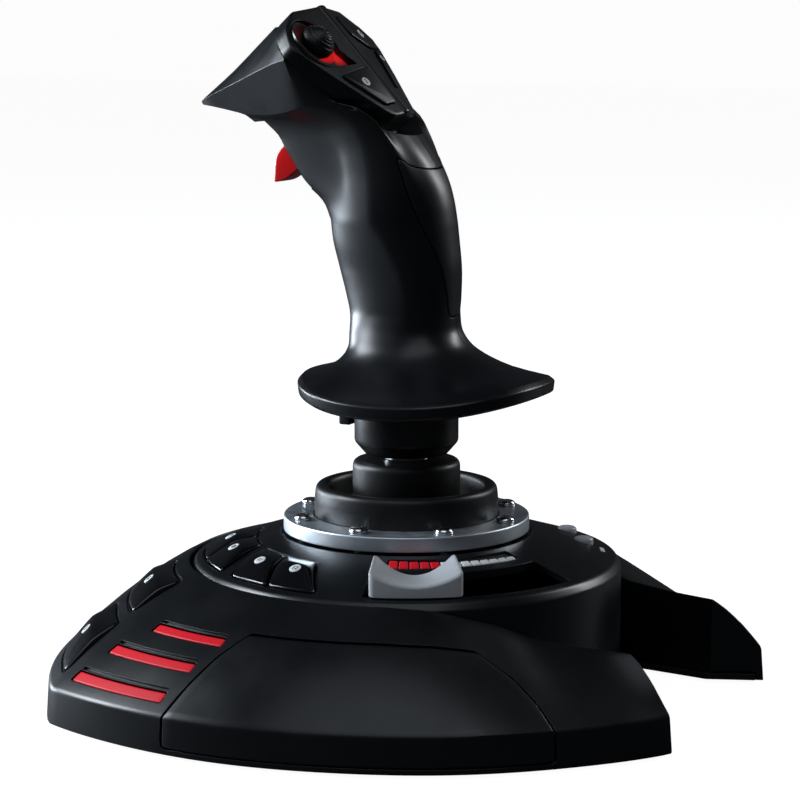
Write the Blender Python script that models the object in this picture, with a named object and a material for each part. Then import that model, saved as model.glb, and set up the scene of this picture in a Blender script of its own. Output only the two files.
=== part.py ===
"""Desktop flight joystick: base with throttle and keys, gimbal, and twisting grip. Metres, +Z up.

+Y points away from the user, +X to the user's right. The origin is on the stick's axis, on the table.
Angles around the stick are counted in degrees from +Y, negative on the user's left.
"""

import math

import bmesh
import bpy
import numpy as np
from mathutils import Matrix, Vector

GAP = 0.0003  # clearance between neighbouring solids
CUT = 0.002  # how far a cutter runs past the wall it opens
THIN_SHELLS = ("base_shell", "turret_housing", "grip_left", "grip_right", "thumb_plate")

# Base shell
WALL = 0.0024
SHELL_FLOOR = 0.0012  # lower edge of the outer wall
INNER_FLOOR = 0.0038  # lower edge of walls that stand on the bottom plate
CREASE_Z = 0.0124  # top of the vertical outer wall
CREASE_STEP = 0.0008  # how far the crease stands in from the wall's foot
FRONT_Y = 0.1086  # foremost point of the base
FRONT_RADIUS = 0.1606
CORNER_DEG = 52.1  # where the front arc meets the side
TIP_DEG = 157.6  # radial end of each wing
# Outer radius of the base along its side: degrees, metres.
SIDE_RADII = (
    (52.1, 0.1233), (65, 0.1174), (84, 0.1116), (105, 0.1080),
    (123, 0.1087), (141, 0.1114), (157.6, 0.1170),
)
# Height of the slope's upper edge: degrees, metres.
RIM_HEIGHTS = ((0, 0.042), (110, 0.042), (120, 0.041), (126, 0.0394), (137, 0.0355), (145.4, 0.031),
               (153, 0.0292), (157.6, 0.0287))
NOTCH_START = (0.0430, -0.0552)  # the wing's inner wall leaves the turret here
NOTCH_END = (0.0380, -0.0906)

# Turret
TURRET_R = 0.070
RING_R = 0.040
TURRET_TOP = 0.051
TURRET_FALL = 0.305  # drop per metre of radius
LIP_R = 0.0295
SHELL_INNER_R = TURRET_R + 0.0005

# Stick
PIVOT_Z = 0.046
SCREW_CIRCLE_R = 0.035
SCREWS = 8
SHAFT_R = 0.0075
SHAFT_HOLE_R = 0.0084
NECK_TOP = 0.0946

# Sections of the hand rest: height, centre in Y, half depth, half width, share of the saddle.
REST_SECTIONS = (
    (0.0950, 0.0000, 0.0172, 0.0172, 0.0), (0.0972, -0.0070, 0.0388, 0.0368, 1.0),
    (0.0984, -0.0070, 0.0404, 0.0382, 1.0), (0.1006, -0.0070, 0.0406, 0.0384, 1.0),
    (0.1020, -0.0070, 0.0394, 0.0372, 1.0), (0.1042, -0.0058, 0.0310, 0.0290, 0.6),
    (0.1072, -0.0040, 0.0246, 0.0218, 0.3), (0.1105, -0.0020, 0.0208, 0.0178, 0.1),
)
SADDLE_DROP = 0.0045  # how much lower the hand rest is at its sides
# Sections of the grip: height, centre in Y, half depth, half width.
GRIP_SECTIONS = (
    (0.115, 0.0000, 0.0187, 0.0160), (0.121, 0.0007, 0.0181, 0.0154), (0.127, 0.0013, 0.0189, 0.0153),
    (0.136, 0.0025, 0.0202, 0.0157), (0.145, 0.0041, 0.0209, 0.0162), (0.151, 0.0048, 0.0209, 0.0163),
    (0.157, 0.0061, 0.0211, 0.0162), (0.1625, 0.0091, 0.0225, 0.0165), (0.1684, 0.0127, 0.0235, 0.0170),
    (0.1743, 0.0181, 0.0253, 0.0180), (0.1800, 0.0237, 0.0264, 0.0190), (0.1840, 0.0250, 0.0262, 0.0195),
)
GRIP_STEPS = 24
GRIP_WALL = 0.0024
SQUARENESS = 2.25  # exponent of the superellipse that the sections follow
PALM_Z = (0.121, 0.1743)
# The palm insert's reach to each side: height, degrees from the back.
PALM_REACH = ((0.121, 14), (0.130, 20), (0.140, 29), (0.152, 45), (0.163, 55), (0.1743, 60))
PALM_COLUMNS = 11

# Trigger: its pivot, then its side outline and the slot's, in Y and Z from the pivot.
TRIGGER_PIVOT = (0.0, 0.0310, 0.1770)
TRIGGER_OUTLINE = (
    (-0.0035, -0.0035), (-0.0035, 0.0030), (0.0035, 0.0030), (0.0122, -0.0032), (0.0142, -0.0070),
    (0.0148, -0.0146), (0.0112, -0.0140), (0.0075, -0.0115), (0.0025, -0.0070),
)
TRIGGER_SLOT = (
    (-0.0065, -0.0090), (-0.0065, 0.0065), (0.0060, 0.0065), (0.0250, 0.0045), (0.0200, -0.0210),
    (0.0090, -0.0210), (-0.0010, -0.0150),
)

# Thumb plate: its frame lies on the ridge, X across, +Y up the slope, Z out of the plate.
PLATE_ORIGIN = (0.0, 0.0297, 0.2184)
PLATE_TILT_DEG = 47.1
ROOF_DEG = 9.0
PLATE_UNDERSIDE = -0.0090
THUMB_KEY_LOW = -0.0078  # lower end of the thumb keys, clear of the seat when they are pressed
HAT_AT = (-0.0175, -0.0125)
HAT_PIVOT_DEPTH = -0.0110
# Half outline of the plate: half-width, distance down the slope.
PLATE_OUTLINE = ((0.0160, -0.0012), (0.0255, 0.0045), (0.0305, 0.0125), (0.0212, 0.0270), (0.0100, 0.0425),
                 (0.0070, 0.0447))

# Thumb keys: outlines across the plate and up its slope.
THUMB_KEYS = {
    "thumb_key_2": ((-0.0030, -0.0250), (-0.0030, -0.0400), (-0.0085, -0.0400), (-0.0175, -0.0275),
                    (-0.0175, -0.0262)),
    "thumb_key_3": ((0.0225, -0.0165), (0.0185, -0.0165), (0.0085, -0.0330), (0.0115, -0.0330),
                    (0.0200, -0.0225)),
    "thumb_key_4": ((0.0060, -0.0030), (0.0060, -0.0110), (0.0150, -0.0152), (0.0245, -0.0152),
                    (0.0262, -0.0110), (0.0215, -0.0055), (0.0140, -0.0030)),
}

# Keys on the base: rows of (share of the slope, or radius on the turret; first degree, last degree).
SLOPE_KEYS = {
    "base_key_5": ((0.10, -51.0, -35.5), (0.45, -49.0, -33.0)),
    "base_key_6": ((0.55, -48.0, -27.5), (0.87, -47.0, -24.5)),
    "base_key_7": ((0.55, 27.5, 48.0), (0.87, 24.5, 47.0)),
    "base_key_8": ((0.10, 35.5, 51.0), (0.45, 33.0, 49.0)),
}
TURRET_KEYS = {
    "base_key_9": ((0.0655, -36.2, -20.8), (0.0490, -26.6, -11.4)),
    "base_key_10": ((0.0655, -52.6, -37.2), (0.0490, -43.0, -27.8)),
    "base_key_11": ((0.0655, -74.2, -59.0), (0.0490, -64.6, -49.4)),
    "base_key_12": ((0.0655, -90.4, -75.2), (0.0490, -80.8, -65.6)),
}

# Throttle
THROTTLE_DEG = -118.0
THROTTLE_HALF_DEG = 12.6
SLOT_DEG = (-166.0, -103.5)
SLOT_R = (0.0520, 0.0660)


# ---------------------------------------------------------------- basic tools

def material(name, colour, roughness, metallic=0.0):
    mat = bpy.data.materials.get(name) or bpy.data.materials.new(name)
    mat.use_nodes = True
    shader = mat.node_tree.nodes["Principled BSDF"]
    shader.inputs["Base Color"].default_value = (*colour, 1.0)
    shader.inputs["Roughness"].default_value = roughness
    shader.inputs["Metallic"].default_value = metallic
    return mat


def black_plastic():
    return material("black_plastic", (0.018, 0.020, 0.024), 0.42)


def dark_plastic():
    return material("dark_plastic", (0.012, 0.012, 0.014), 0.6)


def key_plastic():
    return material("key_plastic", (0.015, 0.016, 0.019), 0.3)


def rubber():
    return material("rubber", (0.012, 0.012, 0.014), 0.7)


def red_plastic():
    return material("red_plastic", (0.75, 0.02, 0.03), 0.35)


def silver_paint():
    return material("silver_paint", (0.42, 0.44, 0.46), 0.4, 0.3)


def ring_metal():
    return material("ring_metal", (0.68, 0.70, 0.72), 0.35, 1.0)


def steel():
    return material("steel", (0.6, 0.6, 0.6), 0.3, 1.0)


def board_green():
    return material("board_green", (0.02, 0.14, 0.05), 0.5)


def add_object(name, bm, mat, parent=None):
    """An object made of a bmesh whose faces are turned outwards and shaded by angle."""
    bmesh.ops.remove_doubles(bm, verts=bm.verts, dist=1e-6)
    bmesh.ops.recalc_face_normals(bm, faces=bm.faces)
    mesh = bpy.data.meshes.new(name)
    bm.to_mesh(mesh)
    bm.free()
    mesh.shade_smooth()
    mesh.set_sharp_from_angle(angle=math.radians(35))
    mesh.materials.append(mat)
    obj = bpy.data.objects.new(name, mesh)
    bpy.context.scene.collection.objects.link(obj)
    obj.parent = parent
    return obj


def as_cutter(obj):
    obj.hide_render = True
    obj.display_type = "WIRE"
    return obj


def boolean(obj, other, operation="DIFFERENCE"):
    """A Boolean: EXACT, except on the thin shells whose many cuts it leaves open."""
    modifier = obj.modifiers.new(f"{operation.lower()}_{other.name}", "BOOLEAN")
    modifier.operation = operation
    modifier.solver = "MANIFOLD" if obj.name in THIN_SHELLS else "EXACT"
    modifier.object = as_cutter(other)


def empty(name, location, rotation=(0, 0, 0), parent=None):
    obj = bpy.data.objects.new(name, None)
    bpy.context.scene.collection.objects.link(obj)
    obj.location = location
    obj.rotation_euler = rotation
    obj.parent = parent
    return obj


def at_angle(radius, degrees, z=0.0):
    angle = math.radians(degrees)
    return (radius * math.sin(angle), radius * math.cos(angle), z)


def skin_loops(bm, loops, closed=False):
    """Faces between loops of points; the first and last loop are capped unless the row of loops is closed."""
    rings = [[bm.verts.new(point) for point in loop] for loop in loops]
    count = len(rings[0])
    pairs = list(zip(rings, rings[1:]))
    if closed:
        pairs.append((rings[-1], rings[0]))
    for low, high in pairs:
        for i in range(count):
            j = (i + 1) % count
            bm.faces.new((low[i], low[j], high[j], high[i]))
    if not closed:
        bm.faces.new(rings[0][::-1])
        bm.faces.new(rings[-1])


def lofted(name, loops, mat, parent=None, closed=False):
    bm = bmesh.new()
    skin_loops(bm, loops, closed)
    return add_object(name, bm, mat, parent)


def turned(name, profile, mat, steps=48, parent=None):
    """A ring: a closed profile of (radius, z) points that stays clear of the axis, turned about Z."""
    loops = [[at_angle(r, 360 * i / steps, z) for r, z in profile] for i in range(steps)]
    return lofted(name, loops, mat, parent, closed=True)


def solid_turned(name, profile, mat, steps=32, parent=None):
    """A solid of revolution about Z: (radius, z) points from the bottom to the top, with flat ends."""
    loops = [[at_angle(r, 360 * i / steps, z) for i in range(steps)] for r, z in profile]
    return lofted(name, loops, mat, parent)


def bar(name, start, end, radius, mat, steps=20, parent=None):
    """A round bar between two points."""
    start = Vector(start)
    run = Vector(end) - start
    turn = run.to_track_quat("Z", "Y").to_matrix()
    loops = [
        [start + turn @ Vector(at_angle(radius, 360 * i / steps, height)) for i in range(steps)]
        for height in (0.0, run.length)
    ]
    return lofted(name, loops, mat, parent)


def block(name, low, high, mat, parent=None):
    loops = [
        [(low[0], low[1], z), (high[0], low[1], z), (high[0], high[1], z), (low[0], high[1], z)]
        for z in (low[2], high[2])
    ]
    return lofted(name, loops, mat, parent)


def prism(name, outline, low, high, mat, parent=None):
    """An outline in X and Y, extruded from low to high."""
    return lofted(name, [[(x, y, z) for x, y in outline] for z in (low, high)], mat, parent)


def side_prism(name, outline, half_width, mat, parent=None):
    """An outline of (y, z) points, extruded from -half_width to half_width along X."""
    return lofted(name, [[(x, y, z) for y, z in outline] for x in (-half_width, half_width)], mat, parent)


def slab(name, grid, low, high, mat, direction=None, parent=None):
    """A sheet of points, offset by low and high and closed: along one direction, or along its own normals,
    which point away from the stick's axis."""
    rows, columns = len(grid), len(grid[0])
    points = np.array(grid, float)
    if direction is None:
        across = np.gradient(points, axis=0)
        along = np.gradient(points, axis=1)
        normals = np.cross(across, along)
        normals /= np.linalg.norm(normals, axis=2, keepdims=True)
        if (normals * points)[..., :2].sum() < 0:
            normals = -normals
    else:
        normals = np.broadcast_to(np.array(direction, float), points.shape)
    bm = bmesh.new()
    layers = []
    for offset in (low, high):
        offset = np.asarray(offset, float)
        if offset.ndim:
            offset = offset[..., None]
        layers.append([[bm.verts.new(p) for p in row] for row in points + normals * offset])
    for layer in layers:
        for i in range(rows - 1):
            for j in range(columns - 1):
                bm.faces.new((layer[i][j], layer[i + 1][j], layer[i + 1][j + 1], layer[i][j + 1]))
    edge = [(i, 0) for i in range(rows)] + [(rows - 1, j) for j in range(1, columns)]
    edge += [(i, columns - 1) for i in range(rows - 2, -1, -1)] + [(0, j) for j in range(columns - 2, 0, -1)]
    for (a, b), (c, d) in zip(edge, edge[1:] + edge[:1]):
        bm.faces.new((layers[0][a][b], layers[0][c][d], layers[1][c][d], layers[1][a][b]))
    return add_object(name, bm, mat, parent)


# ---------------------------------------------------------------- surfaces of the base

def smooth_curve(points, at):
    """A smooth curve through (position, value) points, read at one position."""
    xs, ys = np.array(points, float).T
    slopes = np.gradient(ys, xs)
    at = min(max(at, xs[0]), xs[-1])
    i = min(max(int(np.searchsorted(xs, at)) - 1, 0), len(xs) - 2)
    step = xs[i + 1] - xs[i]
    t = (at - xs[i]) / step
    return float(
        (2 * t**3 - 3 * t**2 + 1) * ys[i] + (t**3 - 2 * t**2 + t) * step * slopes[i]
        + (3 * t**2 - 2 * t**3) * ys[i + 1] + (t**3 - t**2) * step * slopes[i + 1]
    )


def outer_radius(degrees):
    away = abs(degrees)
    if away >= CORNER_DEG:
        return smooth_curve(SIDE_RADII, away)
    centre = FRONT_Y - FRONT_RADIUS
    along = centre * math.cos(math.radians(away))
    return along + math.sqrt(along**2 - centre**2 + FRONT_RADIUS**2)


def inner_radius(degrees):
    """The shell's inner wall: round the turret, then straight along the notch between the wings."""
    away = abs(degrees)
    if away < 135:
        return SHELL_INNER_R
    sine, cosine = math.sin(math.radians(away)), math.cos(math.radians(away))
    run_x, run_y = NOTCH_END[0] - NOTCH_START[0], NOTCH_END[1] - NOTCH_START[1]
    reach = (NOTCH_START[0] * run_y - NOTCH_START[1] * run_x) / (sine * run_y - cosine * run_x)
    return max(SHELL_INNER_R, reach)


def rim_height(degrees):
    return float(np.interp(abs(degrees), *np.array(RIM_HEIGHTS).T))


def slope_point(degrees, share):
    """A point of the shell's outside: share 0 is the crease, 1 the rim, and -1 the outer wall's foot."""
    outer = outer_radius(degrees)
    if share < 0:
        height = CREASE_Z + share * (CREASE_Z - SHELL_FLOOR)
        return at_angle(outer - CREASE_STEP * (1 + share), degrees, height)
    top_r = outer - CREASE_STEP
    swell = 0.6 * share + 0.4 * (1 - (1 - share) ** 2)
    radius = top_r + share * (inner_radius(degrees) - top_r)
    return at_angle(radius, degrees, CREASE_Z + swell * (rim_height(degrees) - CREASE_Z))


def turret_height(radius):
    return TURRET_TOP - TURRET_FALL * (max(radius, RING_R) - RING_R)


def turret_point(degrees, radius):
    return at_angle(radius, degrees, turret_height(radius))


def sheet(surface, rows, columns, grow=0.0):
    """A grid on a surface. Each row is (share, start degrees, end degrees); grow widens it all round."""
    grid = [
        [Vector(surface(a + (b - a) * j / (columns - 1), v)) for j in range(columns)]
        for v, a, b in rows
    ]
    if grow:
        lines = grid + [[row[j] for row in grid] for j in range(columns)]
        pushes = [((line[0] - line[1]).normalized() * grow, (line[-1] - line[-2]).normalized() * grow)
                  for line in lines]
        for line, (first, last) in zip(lines, pushes):
            line[0] += first
            line[-1] += last
    return grid


def sheet_normal(grid):
    """The upward normal of a sheet as a whole."""
    across = grid[-1][0] - grid[0][-1]
    along = grid[-1][-1] - grid[0][0]
    normal = across.cross(along).normalized()
    return normal if normal.z > 0 else -normal


# ---------------------------------------------------------------- base

def horseshoe_angles():
    """Where the shell has its sections: closer together at the corner and round each wing's end."""
    half = [0, 12, 24, 35, 44, CORNER_DEG, 60, 70, 82, 94, 106, 118, 128, 137, 143, 150, TIP_DEG]
    return [-a for a in half[:0:-1]] + half


def make_base_shell():
    shares = (0.0, 0.3, 0.65, 1.0)
    loops = []
    for degrees in horseshoe_angles():
        outer, inner = outer_radius(degrees), inner_radius(degrees)
        loop = [at_angle(outer, degrees, SHELL_FLOOR)]
        loop += [slope_point(degrees, share) for share in shares]
        loop += [at_angle(inner, degrees, INNER_FLOOR), at_angle(outer - WALL, degrees, INNER_FLOOR),
                 at_angle(outer - WALL, degrees, SHELL_FLOOR)]
        loops.append(loop)
    shell = lofted("base_shell", loops, black_plastic())

    hollow = []
    wall_deg = 1.3  # thickness of each wing's end wall
    for degrees in horseshoe_angles():
        held = max(-TIP_DEG + wall_deg, min(TIP_DEG - wall_deg, degrees))
        outer, inner = outer_radius(held) - WALL - CREASE_STEP, inner_radius(held) + WALL
        loop = [at_angle(outer, held, -CUT), at_angle(outer, held, CREASE_Z - WALL)]
        for share in (0.3, 0.65, 1.0):
            x, y, z = slope_point(held, share)
            radius = min(max(math.hypot(x, y), inner), outer - 0.001)
            loop.append(at_angle(radius, held, z - WALL * 1.15))
        loop.append(at_angle(inner, held, -CUT))
        hollow.append(loop)
    boolean(shell, lofted("base_hollow", hollow, dark_plastic()))
    return shell


def make_turret():
    profile = [
        (TURRET_R, INNER_FLOOR), (TURRET_R, 0.0402), (TURRET_R - 0.0007, 0.0417),
        (TURRET_R - 0.0022, turret_height(TURRET_R - 0.0022)), (0.0555, turret_height(0.0555)),
        (RING_R, TURRET_TOP - 0.0001), (LIP_R, TURRET_TOP - 0.0001), (LIP_R, 0.0484), (RING_R, 0.0484),
        (TURRET_R - 0.0030, 0.0405), (TURRET_R - WALL, 0.0385), (TURRET_R - WALL, INNER_FLOOR),
    ]
    return turned("turret_housing", profile, black_plastic(), steps=36)


def make_bottom_plate():
    inset = WALL + 0.0004
    outline = [at_angle(outer_radius(a) - inset, a)[:2] for a in horseshoe_angles()]
    outline += [NOTCH_END, NOTCH_START]
    start = math.degrees(math.atan2(NOTCH_START[0], NOTCH_START[1]))
    steps = 10
    rear = [start + (360 - 2 * start) * i / steps for i in range(1, steps)]
    outline += [at_angle(TURRET_R - 0.0002, a)[:2] for a in rear]
    outline += [(-NOTCH_START[0], NOTCH_START[1]), (-NOTCH_END[0], NOTCH_END[1])]
    plate = prism("bottom_plate", outline, 0.0013, 0.0034, dark_plastic())
    boolean(plate, solid_turned("dial_hole", [(0.0146, 0.0), (0.0146, 0.006)], steel()))
    return plate


def make_feet():
    for name, x, y in (("front_left", -0.070, 0.066), ("front_right", 0.070, 0.066),
                       ("rear_left", -0.062, -0.080), ("rear_right", 0.062, -0.080)):
        foot = solid_turned(f"foot_{name}", [(0.0065, 0.0), (0.0070, 0.0003), (0.0070, 0.0010)], rubber(), 16)
        foot.location = (x, y, 0)


def make_side_inlays(shell):
    """A red insert behind each front slope, whose bars show through it, and the panel let into each wing."""
    bars = ((0.530, 60, 78), (0.320, 56, 75.6), (0.110, 54.6, 74))
    half_share = 0.030
    sunk, backing, pocket = 0.0003, (-0.0046, -0.0034), 0.0014
    back_rows = ((0.10, 62, 72), (0.33, 62, 72), (0.54, 63, 72))
    panel_rows = ((-0.82, 75.9, 138.3), (0.0, 75.9, 138.3), (0.2, 77.6, 137.0), (0.43, 79.2, 134.5),
                  (0.62, 82.3, 129.8))
    for side, sign in (("left", -1), ("right", 1)):
        back = sheet(slope_point, [(v, sign * a, sign * b) for v, a, b in back_rows], 3)
        insert = slab(f"red_inlay_{side}", back, *backing, red_plastic())
        for i, (share, start, end) in enumerate(bars, 1):
            rows = [(share + edge, sign * start, sign * end) for edge in (-half_share, half_share)]
            shown = slab(f"inlay_bar_{side}_{i}", sheet(slope_point, rows, 4), -0.0040, -sunk, red_plastic())
            boolean(insert, shown, "UNION")
            wide = sheet(slope_point, rows, 4, GAP)
            boolean(shell, slab(f"inlay_slot_{side}_{i}", wide, -0.0048, CUT, red_plastic()))
        rows = [(v, sign * a, sign * b) for v, a, b in panel_rows]
        slab(f"wing_panel_{side}", sheet(slope_point, rows, 9), -0.0011, 0.0, black_plastic())
        wide = sheet(slope_point, rows, 9, 0.0005)
        boolean(shell, slab(f"wing_panel_{side}_pocket", wide, -pocket, CUT, black_plastic()))


def make_key(name, surface, ends, host, rise):
    """A pillow-topped key through its host's wall. Its origin is its centre; it slides along its normal."""
    depth, border, edge_height = 0.0052, 0.0004, 0.0004
    rows = [ends[0], tuple((a + b) / 2 for a, b in zip(*ends)), ends[1]]
    grid = sheet(surface, rows, 5)
    normal = sheet_normal(grid)
    centre = grid[1][2]
    across = np.array([0.0, 0.75, 1.0, 0.75, 0.0])
    along = np.array([0.0, 1.0, 0.0])
    top = edge_height + rise * np.minimum(along[:, None], across[None, :])
    key = slab(name, [[p - centre for p in row] for row in grid], -depth, top, key_plastic(), normal)
    key.location = centre
    hole = slab(f"{name}_hole", sheet(surface, rows, 5, border), -depth - 0.004, 0.006, key_plastic(), normal)
    boolean(host, hole)


def make_base_keys(shell, turret):
    for name, ends in SLOPE_KEYS.items():
        make_key(name, slope_point, ends, shell, 0.0026)
    for name, ends in TURRET_KEYS.items():
        make_key(name, turret_point, ends, turret, 0.0022)


def make_turret_details(turret):
    """Small domed keys, status lens, throttle slot and throttle scale."""
    for name, x, y in (("preset_key", 0.0297, -0.0503), ("mapping_key", 0.0420, -0.0395)):
        z = turret_height(math.hypot(x, y))
        key = solid_turned(name, [(0.0033, -0.0050), (0.0033, 0.0008), (0.0026, 0.0014), (0.0012, 0.0017)],
                           steel(), 14)
        hole = solid_turned(f"{name}_hole", [(0.0037, -0.008), (0.0037, 0.006)], steel(), 14)
        for obj in (key, hole):
            obj.location = (x, y, z)
        boolean(turret, hole)
    radius, degrees, half = 0.0640, 154.5, 2.6
    lens_rows = [(radius + side, degrees - half, degrees + half) for side in (0.0008, -0.0008)]
    slab("status_lens", sheet(turret_point, lens_rows, 3), -0.0018, -0.0001, silver_paint(), (0, 0, 1))
    boolean(turret, slab("status_lens_hole", sheet(turret_point, lens_rows, 3, GAP), -0.006, 0.004,
                         silver_paint(), (0, 0, 1)))
    slot_rows = [(SLOT_R[1], *SLOT_DEG), (SLOT_R[0], *SLOT_DEG)]
    boolean(turret, slab("throttle_slot", sheet(turret_point, slot_rows, 9), -0.008, 0.006,
                         dark_plastic(), (0, 0, 1)))
    scale_rows = [(0.0486, -161.0, -108.5), (0.0438, -161.0, -108.5)]
    slab("throttle_scale", sheet(turret_point, scale_rows, 7), -0.0012, -0.0001, red_plastic(), (0, 0, 1))
    boolean(turret, slab("throttle_scale_pocket", sheet(turret_point, scale_rows, 7, GAP), -0.0016, 0.004,
                         red_plastic(), (0, 0, 1)))


def screw_holes(name, radius, low, high):
    """One mesh with a pin at each screw of the clamp ring."""
    bm = bmesh.new()
    steps = 6
    for i in range(SCREWS):
        x, y, _ = at_angle(SCREW_CIRCLE_R, 180 + 360 * i / SCREWS)
        loops = [[Vector(at_angle(radius, 360 * k / steps, z)) + Vector((x, y, 0)) for k in range(steps)]
                 for z in (low, high)]
        skin_loops(bm, loops)
    return add_object(name, bm, steel())


def make_clamp(turret):
    """Clamp ring, its screws, the boot that it holds down, and the gimbal housing that they screw into."""
    ring = turned("clamp_ring", [
        (0.0302, 0.0526), (0.0334, 0.0526), (0.0334, 0.0512), (RING_R, 0.0512), (RING_R, 0.0557),
        (RING_R - 0.0004, 0.0561), (0.0306, 0.0561), (0.0302, 0.0557),
    ], ring_metal(), 28)
    turned("boot", [
        (0.0276, 0.0512), (0.0331, 0.0512), (0.0331, 0.0523), (0.0299, 0.0523), (0.0298, 0.0615),
        (0.0291, 0.0646), (0.0278, 0.0660), (0.0264, 0.0660), (0.0252, 0.0645), (0.0249, 0.0615),
        (0.0247, 0.0582), (0.0223, 0.0572), (0.0223, 0.0560), (0.0276, 0.0560),
    ], rubber(), 24)
    housing = turned("gimbal_housing", [
        (0.0290, 0.0380), (0.0360, 0.0380), (0.0360, INNER_FLOOR), (0.0385, INNER_FLOOR), (0.0385, 0.0481),
        (0.0290, 0.0481),
    ], dark_plastic(), 24)
    boolean(housing, bar("trunnion_holes", (-0.0323, 0, PIVOT_Z), (0.0323, 0, PIVOT_Z), 0.0023, steel(), 12))
    for host in (ring, turret, housing):
        boolean(host, screw_holes(f"screw_holes_{host.name}", 0.0019, 0.0400, 0.0600))
    for i in range(SCREWS):
        screw = solid_turned(f"ring_screw_{i + 1}", [
            (0.0012, -0.0125), (0.0012, 0.0003), (0.0030, 0.0003), (0.0030, 0.0010), (0.0022, 0.0018),
        ], steel(), 8)
        screw.location = at_angle(SCREW_CIRCLE_R, 180 + 360 * i / SCREWS, 0.0561)


def make_base_internals(shell):
    turned("ballast_weight", [(0.0420, 0.0038), (0.0600, 0.0038), (0.0600, 0.0080), (0.0420, 0.0080)],
           steel(), 20)
    board_rows = [(0.0640, -62, 62), (0.0450, -62, 62)]
    board = sheet(lambda degrees, radius: at_angle(radius, degrees, 0.0140), board_rows, 9)
    slab("circuit_board", board, 0.0, 0.0016, board_green(), (0, 0, 1))
    sensor = block("throttle_sensor", (-0.006, -0.006, 0.0), (0.006, 0.006, 0.010), dark_plastic())
    sensor.location = at_angle(0.0490, -135, 0.0180)
    sensor.rotation_euler.z = math.radians(135)
    gland_z = 0.0074
    bar("cable_gland", (0, 0.1030, gland_z), (0, 0.1084, gland_z), 0.0036, rubber(), 12)
    boolean(shell, bar("gland_hole", (0, 0.0990, gland_z), (0, 0.1130, gland_z), 0.0040, rubber(), 12))
    solid_turned("tension_dial", [
        (0.0136, 0.0009), (0.0142, 0.0013), (0.0142, 0.0034), (0.0050, 0.0034), (0.0050, 0.0180),
    ], dark_plastic(), 20)


# ---------------------------------------------------------------- throttle

def polar_block(name, radii, degrees, z_low, z_high, mat, columns=7):
    """A block between two radii and two angles; the heights are functions of (angle share, radius)."""
    bm = bmesh.new()
    layers = []
    for height in (z_low, z_high):
        rows = []
        for r in radii:
            shares = [j / (columns - 1) for j in range(columns)]
            rows.append([bm.verts.new(at_angle(r, degrees[0] + (degrees[1] - degrees[0]) * s, height(s, r)))
                         for s in shares])
        layers.append(rows)
    last = len(radii) - 1
    for layer in layers:
        for i in range(last):
            for j in range(columns - 1):
                bm.faces.new((layer[i][j], layer[i + 1][j], layer[i + 1][j + 1], layer[i][j + 1]))
    low, high = layers
    for j in range(columns - 1):
        for i in (0, last):
            bm.faces.new((low[i][j], low[i][j + 1], high[i][j + 1], high[i][j]))
    for i in range(last):
        for j in (0, columns - 1):
            bm.faces.new((low[i][j], low[i + 1][j], high[i + 1][j], high[i][j]))
    return add_object(name, bm, mat)


def paddle_height(share, radius):
    """The paddle's top: a saddle, low in the middle and with two horns that rise towards the stick."""
    away = abs(2 * share - 1)
    inward = (0.0668 - radius) / (0.0668 - 0.0560)
    return 0.0468 + 0.0015 * inward + (0.0040 + 0.0030 * inward) * away**2


def make_throttle():
    start, end = THROTTLE_DEG - THROTTLE_HALF_DEG, THROTTLE_DEG + THROTTLE_HALF_DEG
    polar_block("throttle_paddle", (0.0560, 0.0595, 0.0630, 0.0668), (start, end),
                lambda s, r: turret_height(r) + 0.0005, paddle_height, silver_paint(), 9)
    arm = turned("throttle_arm", [(0.0390, 0.0290), (0.0430, 0.0290), (0.0430, 0.0330), (0.0390, 0.0330)],
                 dark_plastic(), 20)
    parts = (
        polar_block("arm_reach", (0.0415, 0.0520, 0.0625), (THROTTLE_DEG - 5, THROTTLE_DEG + 5),
                    lambda s, r: 0.0295, lambda s, r: 0.0325, dark_plastic(), 3),
        polar_block("arm_stem", (0.0575, 0.0620), (THROTTLE_DEG - 4.5, THROTTLE_DEG + 4.5),
                    lambda s, r: 0.0310, lambda s, r: turret_height(r) + 0.0001, dark_plastic(), 3),
    )
    for part in parts:
        boolean(arm, part, "UNION")


# ---------------------------------------------------------------- gimbal and shaft

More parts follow.
